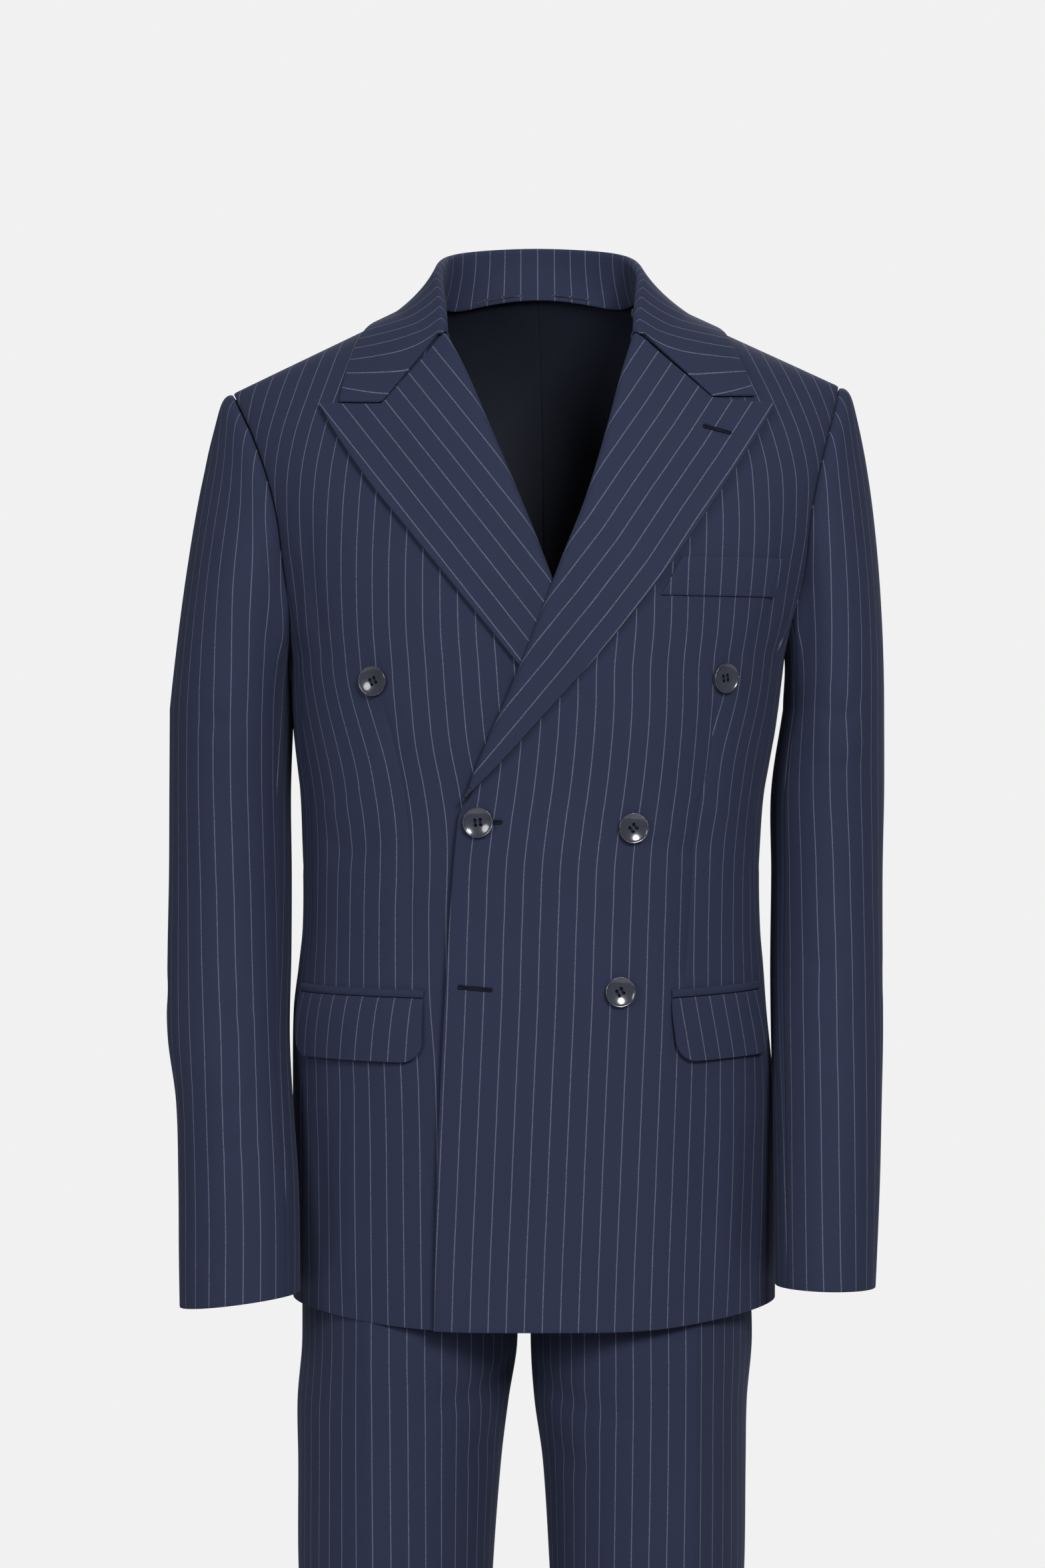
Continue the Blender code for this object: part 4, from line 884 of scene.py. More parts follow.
        fall = self._laid(ends, fall + bend)
        points = np.concatenate([stand, arc, fall], axis=1)
        across = run_lengths(np.swapaxes(grain, 0, 1)).T
        across = across - across[count // 2]
        along = unit(np.gradient(edge, axis=0))
        across[:, -len(share):] += (bend * along[:, None]).sum(-1)
        return ClothWall("collar", points, across, (Edge.SEAM, Edge.SEAM, Edge.SEAM, Edge.FOLD),
                         -1, CLOTH, nodes=("collar_fall", "collar_stand"),
                         lengthwise=run_lengths(points), held="folded",
                         rests_on=("cloth_back_left", "cloth_back_right")).build(finishes)

    def _laid(self, ends: Array, fall: Array) -> Array:
        """Fall clear of the body, and let down at its ends, flush with the lapels."""
        clear = self.clear(fall, SEAM + CLOTH + self.clearance)
        middle = len(ends) // 2
        for half, lapel in zip((slice(0, middle), slice(middle, None)), self.lapels):
            start = np.array(lapel.rows[-1])[1:3]
            part, weight = fall[half], ends[half, None, None]
            away = np.linalg.norm(part[..., [0, 2]] - start, axis=-1)
            radius = lapel.radius(np.array(1.0))
            lift = lapel.lift(radius, np.maximum(away - radius, 0), np.full(away.shape, 0.01))
            low, _ = BODY.raised(part[..., ::2], lift, False)
            clear[half] += (np.where(weight > 0, low, clear[half]) - clear[half]) * weight
        return clear

    def _bend(self, station: Array, share: Array, top: Array, edge: Array,
              radius: Array) -> Array:
        """Shift of the fall near its two ends, which follow the gorge and the notch."""
        total = np.zeros((len(station), len(share), 3))
        for index, lapel in ((0, self.lapels[0]), (-1, self.lapels[1])):
            fade = ease(1 - np.abs(station - station[index]) / 0.16) ** 2
            start, end = top[index][[0, 2]], edge[index][[0, 2]]
            inward = (end - start) / np.linalg.norm(end - start)
            roll = start - inward * radius[index]
            notch = np.array(lapel.notch) + np.array([0.0, 0.0006])
            line = roll + (end - roll) * share[:, None] + notched(roll, notch, end, share)
            line += inward * (radius[index] * (1 - share) ** 3)[:, None]
            bent = line - (start + (end - start) * share[:, None])
            total[..., ::2] += fade[:, None, None] * bent
        return total


# ======== pockets
@dataclass(frozen=True)
class BreastWelt:
    """Slanted welt of the breast pocket, cut to match the stripes of its front."""

    front: Front
    bottom: tuple = ((0.087, -0.2209), (0.17, -0.2206))
    top: tuple = ((0.103, -0.193), (0.1775, -0.193))
    stitch_share: float = 0.955
    stitch_length: float = 0.0012
    shape: tuple = (12, 28)

    def spot(self, share: Array, step: Array, lift: float) -> tuple[Array, Array]:
        """Points and normals by share of the height and step along the welt."""
        low, high = np.array(self.bottom), np.array(self.top)
        near = low[0] + (high[0] - low[0]) * share[..., None]
        far = low[1] + (high[1] - low[1]) * share[..., None]
        place = near + (far - near) * step[..., None]
        swell = 0.0005 * np.sin(math.pi * share)
        return BODY.raised(place, lift + swell, True)

    def build(self, finishes: tuple) -> Piece:
        """Mesh of the welt."""
        rows, columns = self.shape
        share, step = np.meshgrid(np.linspace(0, 1, rows), np.linspace(0, 1, columns),
                                  indexing="ij")
        points, normals = self.spot(share, step, SEAM + TRIM)
        angle, level = BODY.place(points[..., 0], points[..., 2])
        return ClothWall("breast_welt", points, self.front.matched(angle, level),
                         (Edge.SEAM, Edge.FOLD, Edge.FOLD, Edge.FOLD), 1, TRIM, normals,
                         held="laid", rests_on=("cloth_forepart_left",)).build(finishes)

    def stitches(self) -> list[Array]:
        """Paths of the pick stitches that hold the welt's outer end."""
        paths = []
        for share in np.linspace(0.1, 0.92, 9):
            line = np.linspace(share, share + self.stitch_length / 0.028, 4)
            points, normals = self.spot(line, np.full(4, self.stitch_share), SEAM + TRIM)
            paths.append(points + normals * 0.00005)
        return paths


@dataclass(frozen=True)
class HipPocket:
    """Jet and flap of one hip pocket."""

    front: Front
    inner_x: float
    outer_angle: float
    outer_rise: float
    inner_z: float = -0.502
    jet: float = 0.0055
    height: float = 0.046
    corner: float = 0.016
    stand_off: float = 0.0022
    lean: float = 0.085

    def _line(self) -> tuple[Array, Array, Array]:
        """Angles of the columns, their distance along the pocket, and their height."""
        start, level = BODY.place(self.inner_x, self.inner_z)
        fine = np.linspace(float(start), math.radians(self.outer_angle), 400)
        lengths = run_lengths(BODY.point(fine, level))
        width = lengths[-1]
        near = self.corner * (1 - np.cos(np.linspace(0, math.pi / 2, 12)))
        middle = np.linspace(self.corner, width - self.corner, 32)[1:-1]
        along = np.concatenate([near, middle, width - near[::-1]])
        height = self.inner_z + self.outer_rise * along / width
        return np.interp(along, lengths, fine), along, height

    def build_jet(self, finishes: tuple) -> Piece:
        """Narrow jet above the flap, cut so that no stripe shows on it."""
        angle, along, top = self._line()
        depth = np.linspace(self.jet, 0.0, 8)[:, None]
        height = top - depth
        swell = 0.0006 * np.sin(math.pi * depth / self.jet)
        level = BODY.low_level(height)
        turn = np.broadcast_to(angle, level.shape)
        points, normals = BODY.raised_round(turn, level, SEAM + TRIM + swell, self.front.over)
        name = self.front.name
        return ClothWall(f"pocket_jet_{name}", points,
                         np.broadcast_to(0.0036 + depth, level.shape), SEAMS, self.front.side,
                         TRIM, normals, lengthwise=np.broadcast_to(along, level.shape),
                         held="laid", rests_on=(f"cloth_forepart_{name}",)).build(finishes)

    def build_flap(self, finishes: tuple) -> Piece:
        """Flap with rounded lower corners, a little off the front at its lower edge."""
        angle, along, top = self._line()
        near = np.minimum(along, along[-1] - along)
        inset = np.maximum(self.corner - near, 0.0)
        drop = self.height - self.corner + np.sqrt(self.corner ** 2 - inset ** 2)
        share = np.concatenate([np.linspace(1.0, 0.9, 6), np.linspace(0.87, 0.0, 18)])[:, None]
        depth = drop * share
        height = top - self.jet - SEAM - depth
        level = BODY.low_level(height)
        turn = np.broadcast_to(angle, level.shape)
        ripple = 0.0007 * np.sin(along / along[-1] * 7.3 + 0.8 * self.front.side) * share
        lift = SEAM + TRIM + self.stand_off * share + ripple + 0.0009 * np.sin(math.pi * share)
        points, normals = BODY.raised_round(turn, level, lift, self.front.over)
        across = self.front.matched(turn, np.broadcast_to(level[-1:], level.shape))
        name = self.front.name
        return ClothWall(f"pocket_flap_{name}", points, across - self.lean * depth, TURNED,
                         self.front.side, TRIM, grid_normals(points, self.front.side),
                         rests_on=(f"cloth_forepart_{name}",)).build(finishes)


# ======== sleeves
@dataclass(frozen=True)
class Sleeve:
    """Two-piece sleeve, set into the armhole with a slightly raised head."""

    side: int
    name: str
    # height, centre x, half width, centre y, half depth, drop of the outer side
    rows: tuple
    # height, across of the guide stripe in the front view
    guide: tuple
    creases: tuple
    top: float = -0.3
    cuff: float = -0.7255
    front_seam: float = 145.0
    back_seam: float = 235.0
    head_rise: float = 0.0024
    shoulder_reach: float = 0.0165
    cap_lean: float = 0.0
    seam_gap: float = 0.0006
    # distance inward and towards the body of each row of the turned-in seam
    turning: tuple = ((0.0012, 0.0006), (0.0032, 0.0022), (0.0042, 0.008))
    button_angle: float = 312.0
    lowest_button: float = -0.696
    button_step: float = 0.0165
    row_gap: float = 0.0042

    def _armhole(self) -> tuple[Array, Array]:
        """Armhole's points and their angles round its middle, from the top by the front."""
        level = np.linspace(1.0, BODY.armhole_low, 60)
        front = BODY.point(BODY.outer_angle(level, self.side, False), level)
        low = np.linspace(BODY.yoke[0][2], BODY.yoke[0][3], 60)
        under = BODY.point(self.side * np.radians(low), BODY.armhole_level(low))
        back = BODY.point(BODY.outer_angle(level[::-1], self.side, True), level[::-1])
        loop = np.concatenate([front, under, back])
        middle = np.array([0.0, BODY.ridge_y, (loop[0, 2] + loop[:, 2].min()) / 2])
        offset = loop - middle
        turn = np.degrees(np.arctan2(-offset[:, 1], offset[:, 2])) % 360
        order = np.argsort(turn)
        inward = unit((middle - loop) * np.array([0.0, 1.0, 1.0]))
        return turn[order], (loop + (inward + [self.side, 0, 0]) * self.seam_gap)[order]

    def ring(self, turn: Array, height: Array) -> Array:
        """Points of the sleeve's level sections: 0 is the outer side, 90 the front."""
        row = table_at(self.rows, height)
        cosine, sine = np.cos(np.radians(turn)), np.sin(np.radians(turn))
        return np.stack([row[..., 1] + self.side * row[..., 2] * cosine,
                         row[..., 3] - row[..., 4] * sine, height - row[..., 5] * cosine], -1)

    def point(self, turn: Array, run: Array) -> Array:
        """Outer face: run -1 is the armhole, 0 the upper arm, 1 the cuff."""
        turn, run = paired(turn, run)
        angles, loop = self._armhole()
        start = np.stack([np.interp(turn % 360, angles, loop[:, k], period=360)
                          for k in range(3)], axis=-1)
        end = self.ring(turn, np.full(turn.shape, self.top))
        cosine, sine = np.cos(np.radians(turn)), np.sin(np.radians(turn))
        outer = np.maximum(cosine, 0.0)
        reach = 0.007 + np.where(cosine > 0, self.shoulder_reach - 0.007, 0.005) * cosine
        leave = np.stack([self.side * reach, -0.008 * sine, -0.004 - 0.006 * (1 - cosine)], -1)
        arrive = np.stack([-self.side * self.cap_lean * outer, 0 * turn,
                           0.0675 + 0.0525 * cosine], axis=-1)
        share = np.clip(run + 1, 0, 1)[..., None]
        rest = 1 - share
        cap = (start * rest ** 3 + (start + leave) * 3 * rest ** 2 * share
               + (end + arrive) * 3 * rest * share ** 2 + end * share ** 3)
        level = self.top + (self.cuff - self.top) * np.maximum(run, 0)
        return np.where((run < 0)[..., None], cap, self.ring(turn, level))

    def normal(self, turn: Array, run: Array) -> Array:
        """Unit normals of the outer face."""
        across = self.point(turn + 0.4, run) - self.point(turn - 0.4, run)
        low = np.maximum(run - 0.004, -1)
        along = self.point(turn, run + 0.004) - self.point(turn, low)
        return unit(np.cross(across, along)) * self.side

    def shaped(self, turn: Array, run: Array) -> tuple[Array, Array]:
        """Points with the raised head and the worn creases, and the normals there."""
        points, normals = self.point(turn, run), self.normal(turn, run)
        seam = self.point(turn, np.full(np.shape(run), -1.0))
        gap = np.linalg.norm(points - seam, axis=-1) / 0.007
        head = self.head_rise * np.clip(np.cos(np.radians(turn)) + 0.15, 0, 1)
        relief = np.where(run < 0, head * gap * np.exp(1 - gap), 0.0)
        relief += crease_relief(points, self.creases, self._crease_place)
        return points + normals * relief[..., None], normals

    def _crease_place(self, turn: Array, height: Array) -> Array:
        """Crease places by angle and height; above the top the height is a run."""
        run = np.where(height > self.top, (self.top - height) / 0.16,
                       (self.top - height) / (self.top - self.cuff))
        return self.point(turn, run)

    def build(self, finishes: tuple) -> list[Piece]:
        """Top and under sleeve."""
        length = np.linspace(1.0, 0.0, int((self.top - self.cuff) / self.row_gap))
        cap = -np.linspace(0.0, 1.0, 36)[1:]
        run = np.concatenate([length, -np.sin(-cap * math.pi / 2)])
        spans = (("top", self.back_seam - 360, self.front_seam, 54),
                 ("under", self.front_seam, self.back_seam, 26))
        pieces = []
        for part, start, end, columns in spans:
            fine = np.linspace(start, end, 200)
            section = self.point(fine[None], run[:, None])
            lengths = run_lengths(section)
            turn = along_rows(lengths[:, -1:] * np.linspace(0, 1, columns), lengths,
                              np.broadcast_to(fine, lengths.shape))
            points, normals = self.shaped(turn, np.broadcast_to(run[:, None], turn.shape))
            level = run_lengths(section, flat=True)
            zero = level[:, 100:101]
            if part == "top":
                ahead = table_at(self.guide, section[..., 2])[..., 1] - section[..., 0]
                ahead = self.side * ahead[:, fine >= 0]
                zero = along_rows(np.zeros((len(run), 1)), ahead, level[:, fine >= 0])
                zero -= np.minimum(ahead[:, -1:], 0)
            level = self._settled(level - zero, section, fine, len(length) - 1, start)
            across = along_rows(turn, np.broadcast_to(fine, level.shape), level)
            points, normals, across = self._turned_in(points, normals, across)
            name = f"sleeve_{part}_{self.name}"
            wall = ClothWall(name, points, across, HEMMED, -self.side, CLOTH, normals,
                             rests_on=(f"cloth_side_panel_{self.name}",))
            pieces.append(wall.build(finishes))
        return pieces

    def _settled(self, level: Array, section: Array, fine: Array, top: int,
                 start: float) -> Array:
        """Stripes' measure, which follows the upper arm behind and under the sleeve head."""
        around = self._round(section[top:], start)
        pivot = int(np.searchsorted(fine, 0)) if start < 0 else 0
        share = ease(-fine / 75) if start < 0 else np.ones(len(fine))
        near = around + (level[top:, pivot] - around[:, pivot])[:, None]
        behind = around + level[top, 0] - around[0, 0]
        blended = near * (1 - share) + behind * share
        level[top:] = np.where(share > 0, blended, level[top:])
        return level

    def _round(self, points: Array, start: float) -> Array:
        """Metres round the upper arm to the direction in which each point lies."""
        middle = table_at(self.rows, np.array(self.top))
        ring = self.ring(np.linspace(start - 40, start + 280, 400), np.full(400, self.top))

        def bearing(spots: Array) -> Array:
            """Direction from the middle of the upper arm, in degrees."""
            aside = self.side * (spots[..., 0] - middle[1])
            turn = np.degrees(np.arctan2(middle[3] - spots[..., 1], aside))
            return (turn - start + 60) % 360 + start - 60

        return np.interp(bearing(points), bearing(ring), run_lengths(ring, flat=True))

    def _turned_in(self, points: Array, normals: Array,
                   across: Array) -> tuple[Array, Array, Array]:
        """Adds the seam allowance, which is turned into the armhole."""
        seam = points[-1]
        _, loop = self._armhole()
        middle = np.array([0.0, BODY.ridge_y, (loop[:, 2].max() + loop[:, 2].min()) / 2])
        inward = unit((middle - seam) * np.array([0.0, 1.0, 1.0]))
        rows = [seam + inward * deep - np.array([self.side * aside, 0.0, 0.0])
                for deep, aside in self.turning]
        points = np.concatenate([points, rows])
        turned = grid_normals(points, -self.side)[-len(rows):]
        return (points, np.concatenate([normals, turned]),
                np.concatenate([across, np.repeat(across[-1:], len(rows), axis=0)]))

    def button_spots(self) -> list[tuple[Array, Array]]:
        """Place and normal of each cuff button, from the lowest up."""
        spots = []
        for index in range(4):
            height = self.lowest_button + index * self.button_step
            run = np.array((height - self.top) / (self.cuff - self.top))
            turn = np.array(self.button_angle)
            normal = self.normal(turn, run)
            spots.append((self.point(turn, run) + normal * SEAM, normal))
        return spots


# ======== trousers
@dataclass(frozen=True)
class Trousers:
    """Four leg panels with pressed creases, the waistband and the fly."""

    centre: float = -0.0095
    waist_seam: float = -0.525
    band_top: float = -0.485
    crotch: float = -0.76
    hem: float = -1.545
    front_rise: float = -0.66
    back_rise: float = -0.63
    fly_bottom: float = -0.655
    fly_width: float = 0.036
    centre_gap: float = 0.0003
    ridge_rise: float = 0.003
    ridge_reach: float = 0.017
    ridge_round: float = 0.0008
    beside: float = 0.008
    # height, half width, front, back
    hips: tuple = milli(
        (-760, 164, 106, 122), (-700, 161, 109, 128), (-620, 159, 110, 125),
        (-560, 154, 109, 112), (-485, 149, 107, 105),
    )
    # height, centre and half width of the left and the right leg, front, back
    legs: tuple = milli(
        (-1545, 93, 50, -95, 50, 50, 85), (-1300, 92, 56, -94.5, 56, 60, 82),
        (-1120, 91.5, 62, -94, 62, 72, 82), (-930, 90.7, 71.4, -93.4, 71.3, 88, 98),
        (-850, 88.7, 74.5, -90.5, 74.5, 94, 108), (-805, 86, 78, -88, 77.5, 98, 116),
        (-760, 86.5, 81.2, -83, 79, 104, 116), (-485, 86.5, 81.2, -83, 79, 104, 116),
    )
    # height, across of the left and right pressed creases in the front view
    pressed: tuple = milli(
        (-1545, 87, -108), (-1200, 101, -114), (-930, 112, -119), (-500, 112, -119),
    )
    # side, back, metres from the pressed crease to the next stripe, worn creases
    panels: tuple = (
        (1, False, 0.0048, creased(
            (-2, 12, 0.95, -775, 0.72, -800, 0.5, -812), (-1.2, 11, 0.86, -835, 0.66, -850),
            (-2.2, 16, 0.1, -1105, 0.3, -1128, 0.62, -1118),
            (-2.4, 14, 0.2, -1440, 0.42, -1462, 0.8, -1452),
            (1.8, 12, 0.3, -1500, 0.5, -1512, 0.72, -1498),
        )),
        (-1, False, 0.0103, creased(
            (-2.2, 12, 0.95, -770, 0.74, -792, 0.55, -800), (-1.1, 11, 0.88, -825, 0.7, -846),
            (-2, 15, 0.14, -1122, 0.36, -1136, 0.7, -1112),
            (-2.4, 15, 0.16, -1456, 0.44, -1470, 0.78, -1446),
            (1.8, 12, 0.26, -1496, 0.46, -1510, 0.7, -1504),
        )),
        (1, True, 0.0052, creased(
            (-2.8, 14, 0.95, -800, 0.6, -822, 0.3, -812), (-1.8, 13, 0.88, -850, 0.62, -874),
            (-3, 15, 0.15, -1080, 0.45, -1102, 0.85, -1086),
            (-2, 14, 0.2, -1135, 0.5, -1150, 0.8, -1138),
        )),
        (-1, True, 0.0086, creased(
            (-2.8, 14, 0.95, -796, 0.64, -816, 0.34, -824), (-2, 12, 0.9, -846, 0.58, -866),
            (-2.8, 14, 0.12, -1092, 0.46, -1106, 0.8, -1080),
            (-2, 14, 0.22, -1142, 0.52, -1152, 0.84, -1134),
        )),
    )

    def point(self, side: int, back: bool, share: Array, height: Array) -> Array:
        """Outer face of a panel: share 0 is the outer seam, 1 the inner or centre seam."""
        leg, hip = table_at(self.legs, height), table_at(self.hips, height)
        own, depth, sign = (1 if side > 0 else 3), (3 if back else 2), (1 if back else -1)
        turn = math.pi * share
        low = np.stack([leg[..., own] + side * leg[..., own + 1] * np.cos(turn),
                        sign * leg[..., depth + 3] * np.sin(turn), height], axis=-1)
        high = np.stack([side * (hip[..., 1] * np.cos(turn / 2) + self.centre_gap),
                         sign * hip[..., depth] * np.sin(turn / 2), height], axis=-1)
        top = self.back_rise if back else self.front_rise
        joined = ease((height - self.crotch) / (top - self.crotch))[..., None]
        return low + (high - low) * joined + np.array([self.centre, 0.0, 0.0])

    def build_panel(self, side: int, back: bool, finishes: tuple) -> Piece:
        """One leg panel from hem to waist seam."""
        height = np.concatenate([np.linspace(self.hem, self.crotch, 132),
                                 np.linspace(self.crotch, self.waist_seam, 42)[1:]])
        fine, place = np.linspace(0.0, 1.0, 260), partial(self.point, side, back)
        section = place(*paired(fine[None], height[:, None]))
        lengths = run_lengths(section)
        offset, creases = next(row[2:] for row in self.panels if row[:2] == (side, back))
        crease = table_at(self.pressed, height)[:, 1 if side > 0 else 2]
        ahead = side * (crease[:, None] - section[..., 0])
        line = along_rows(np.zeros((len(height), 1)), ahead, lengths)
        near = np.array([-0.004, -0.0015, 0.0, 0.0015, 0.004])
        seam = line[:, 0]
        wanted = np.concatenate([spread(0 * seam, seam - self.beside, 18), line + near,
                                 spread(seam + self.beside, lengths[:, -1], 28)], axis=1)
        share = along_rows(wanted, lengths, np.broadcast_to(fine, lengths.shape))
        tall = np.broadcast_to(height[:, None], share.shape)
        points, facing = place(share, tall), (side if back else -side)
        normals = grid_normals(points, facing)
        gap = np.hypot(wanted - line, self.ridge_round)
        pressed = self.ridge_rise * np.exp(-gap / self.ridge_reach)
        relief = pressed * ease((-0.6 - tall) / 0.1)

        relief += crease_relief(points, creases, place)
        part, name = ("back" if back else "front"), ("left" if side > 0 else "right")
        node = f"trouser_{part}_{name}"
        return ClothWall(node, points + normals * relief[..., None], wanted - line + offset,
                         HEMMED, facing, CLOTH, normals,
                         rests_on=("cloth_waistband",)).build(finishes)

    def waist(self, angle: Array, height: Array) -> Array:
        """Outer face of the waistband by angle from the centre front."""
        row = table_at(self.hips, height)
        depth = np.where(np.cos(angle) > 0, row[..., 2], row[..., 3])
        return np.stack([self.centre + row[..., 1] * np.sin(angle), -depth * np.cos(angle),
                         height + 0 * angle], axis=-1)

    def build_band(self, finishes: tuple) -> Piece:
        """Waistband, open at the centre front."""
        end = math.pi - 0.002
        angle, height = np.meshgrid(math.pi + np.linspace(-end, end, 150),
                                    np.linspace(self.waist_seam + SEAM, self.band_top, 9))
        points = self.waist(angle, height)
        return ClothWall("waistband", points, run_lengths(points),
                         (Edge.SEAM, Edge.FOLD, Edge.SEAM, Edge.SEAM), 1, CLOTH, held="laid",
                         rests_on=("cloth_trouser_back_left",
                                   "cloth_trouser_back_right")).build(finishes)

    def build_fly(self, finishes: tuple) -> Piece:
        """Lap of the fly."""
        height = np.linspace(self.fly_bottom, self.waist_seam - SEAM, 24)[:, None]
        span = self.fly_width / self.hips[2][1] * ease((height - self.fly_bottom + 0.02) / 0.05)
        angle = -0.01 + (span + 0.01) * np.linspace(0, 1, 12)
        height = np.broadcast_to(height, angle.shape)
        points = self.waist(angle, height)
        points = points + grid_normals(points, 1) * (SEAM + TRIM)
        return ClothWall("trouser_fly", points, run_lengths(points), SEAMS, 1, TRIM, held="laid",
                         rests_on=("cloth_trouser_front_left",)).build(finishes)

    def button_spot(self) -> tuple[Array, Array]:
        """Place and normal of the waistband's button."""
        middle = np.array((self.waist_seam + SEAM + self.band_top) / 2)
        angle = np.array(0.1)
        across = self.waist(angle + 0.01, middle) - self.waist(angle - 0.01, middle)
        normal = unit(np.cross(across, [0.0, 0.0, 1.0]))
        return self.waist(angle, middle) + normal * SEAM, normal


# ======== buttons and buttonholes
def deselect() -> None:
    """Leaves no object selected."""
    for thing in bpy.context.selected_objects:
        thing.select_set(False)


def select_only(piece: Piece) -> None:
    """Selects one object and makes it the active one."""
    deselect()
    piece.select_set(True)
    bpy.context.view_layer.objects.active = piece


def select_faces(piece: Piece, wanted: Callable[[bpy.types.MeshPolygon], bool]) -> None:
    """Selects faces of a piece in edit mode by a test."""
    bpy.ops.object.mode_set(mode="EDIT")
    bpy.ops.mesh.select_mode(type="FACE")
    bpy.ops.mesh.select_all(action="DESELECT")
    bpy.ops.object.mode_set(mode="OBJECT")
    for face in piece.data.polygons:
        face.select = wanted(face)
    bpy.ops.object.mode_set(mode="EDIT")


@dataclass(frozen=True)
class ButtonForm:
    """Turned button with a raised rim, four holes and its sewing thread."""

    radius: float
    height: float
    # width and drop of each ring from the rim to the middle, as shares of the radius
    rings: tuple = ((0.07, 0.0), (0.05, 0.035), (0.09, 0.034), (0.12, 0.039), (0.14, 0.037),
                    (0.16, 0.031), (0.18, 0.022))
    hole: float = 0.112
    hole_place: float = 0.172
    sides: int = 56
    bevel_over: float = 24.0
    smooth_under: float = 38.0

    def model(self, name: str, horn: Material, thread: Material) -> Piece:
        """The button at the origin, its face towards +Z.

        Args:
            name: Name of the model.
            horn: Finish of the button.
            thread: Finish of the sewing thread.

        Returns:
            The model, which is copied for each place.
        """
        deselect()
        bpy.ops.mesh.primitive_cylinder_add(vertices=self.sides, radius=self.radius,
                                            depth=self.height, location=(0, 0, self.height / 2))
        button = bpy.context.object
        button.name = name
        bpy.ops.object.transform_apply(location=True, rotation=True, scale=True)
        select_faces(button, lambda face: face.normal.z > 0.9)
        for width, drop in self.rings:
            bpy.ops.mesh.inset(thickness=self.radius * width, depth=-self.radius * drop)
        bpy.ops.object.mode_set(mode="OBJECT")
        select_faces(button, lambda face: face.normal.z < -0.9)
        bpy.ops.mesh.inset(thickness=self.radius * 0.18, depth=0)
        bpy.ops.object.mode_set(mode="OBJECT")
        bevel = button.modifiers.new("rounding", "BEVEL")
        bevel.width, bevel.segments, bevel.limit_method = self.radius * 0.035, 3, "ANGLE"
        bevel.angle_limit = math.radians(self.bevel_over)
        select_only(button)
        bpy.ops.object.modifier_apply(modifier="rounding")
        self._bore(button)
        button.data.materials.append(horn)
        button.data.materials.append(thread)
        select_only(button)
        bpy.ops.object.shade_smooth_by_angle(angle=math.radians(self.smooth_under))
        self._sew(button)
        return button

    def _bore(self, button: Piece) -> None:
        """Cuts the four holes."""
        drills = []
        for x, y in ((-1, -1), (1, -1), (1, 1), (-1, 1)):
            deselect()
            bpy.ops.mesh.primitive_cylinder_add(
                vertices=18, radius=self.radius * self.hole, depth=self.height * 3,
                location=(x * self.radius * self.hole_place, y * self.radius * self.hole_place, 0))
            drills.append(bpy.context.object)
        deselect()
        for drill in drills:
            drill.select_set(True)
        bpy.context.view_layer.objects.active = drills[0]
        bpy.ops.object.join()
        drill = bpy.context.object
        cut = button.modifiers.new("holes", "BOOLEAN")
        cut.operation, cut.object, cut.solver = "DIFFERENCE", drill, "EXACT"
        select_only(button)
        bpy.ops.object.modifier_apply(modifier="holes")
        bpy.data.objects.remove(drill, do_unlink=True)

    def _sew(self, button: Piece) -> None:
        """Adds the threads that cross between the holes."""
        deselect()
        strands = []
        place = self.radius * self.hole_place
        top = self.height - self.radius * sum(drop for _, drop in self.rings)
        for side in (-1, 1):
            for shift in (-1, 0, 1):
                path = np.array([(side * place + shift * self.radius * 0.04, y * place,
                                  top + rise * self.radius) for y, rise in
                                 ((-1.0, -0.14), (-0.8, 0.03), (-0.4, 0.07), (0.0, 0.08),
                                  (0.4, 0.07), (0.8, 0.03), (1.0, -0.14))])
                strands.append(cord_mesh("strand", [path], self.radius * 0.032, 6, thread_slot=1,
                                         finishes=tuple(button.data.materials)))
        for strand in strands:
            strand.select_set(True)
        button.select_set(True)
        bpy.context.view_layer.objects.active = button
        bpy.ops.object.join()


def cord_mesh(name: str, paths: list, radius: float, sides: int, finishes: tuple,
              thread_slot: int = 0, bead: float = 0.0) -> Piece:
    """Mesh of thin closed cords along paths.

    Args:
        name: Name of the piece.
        paths: Points of each cord.
        radius: Radius of a cord.
        sides: Faces round a cord.
        finishes: Materials of the piece.
        thread_slot: Which material the cords take.
        bead: Share by which the radius swells at every other point.

    Returns:
        The piece.
    """
    vertices, faces = [], []
    for path in paths:
        path = np.asarray(path, float)
        along = unit(np.gradient(path, axis=0))
        helper = np.array([0.0, 1.0, 0.0]) if abs(along[0][1]) < 0.8 else np.array([1.0, 0.0, 0.0])
        side = unit(np.cross(along, helper))
        upward = np.cross(side, along)
        base = len(vertices)
        turns = np.arange(sides) * 2 * math.pi / sides
        for index, centre in enumerate(path):
            size = radius * (1 + bead * (1 if index % 2 else -1))
            size *= 0.5 if index in (0, len(path) - 1) else 1.0
            for turn in turns:
                vertices.append(centre + size * (side[index] * math.cos(turn)
                                                 + upward[index] * math.sin(turn)))
        for index in range(len(path) - 1):
            for step in range(sides):
                after = (step + 1) % sides
                low, high = base + index * sides, base + (index + 1) * sides
                faces.append((low + step, high + step, high + after, low + after))
        faces.append(tuple(base + step for step in range(sides)))
        last = base + (len(path) - 1) * sides
        faces.append(tuple(last + step for step in range(sides - 1, -1, -1)))
    mesh = bpy.data.meshes.new(name)
    mesh.from_pydata([tuple(vertex) for vertex in vertices], [], faces)
    for finish in finishes:
        mesh.materials.append(finish)
    for face in mesh.polygons:
        face.material_index = thread_slot
    mesh.shade_smooth()
    mesh.update()
    return placed(mesh)


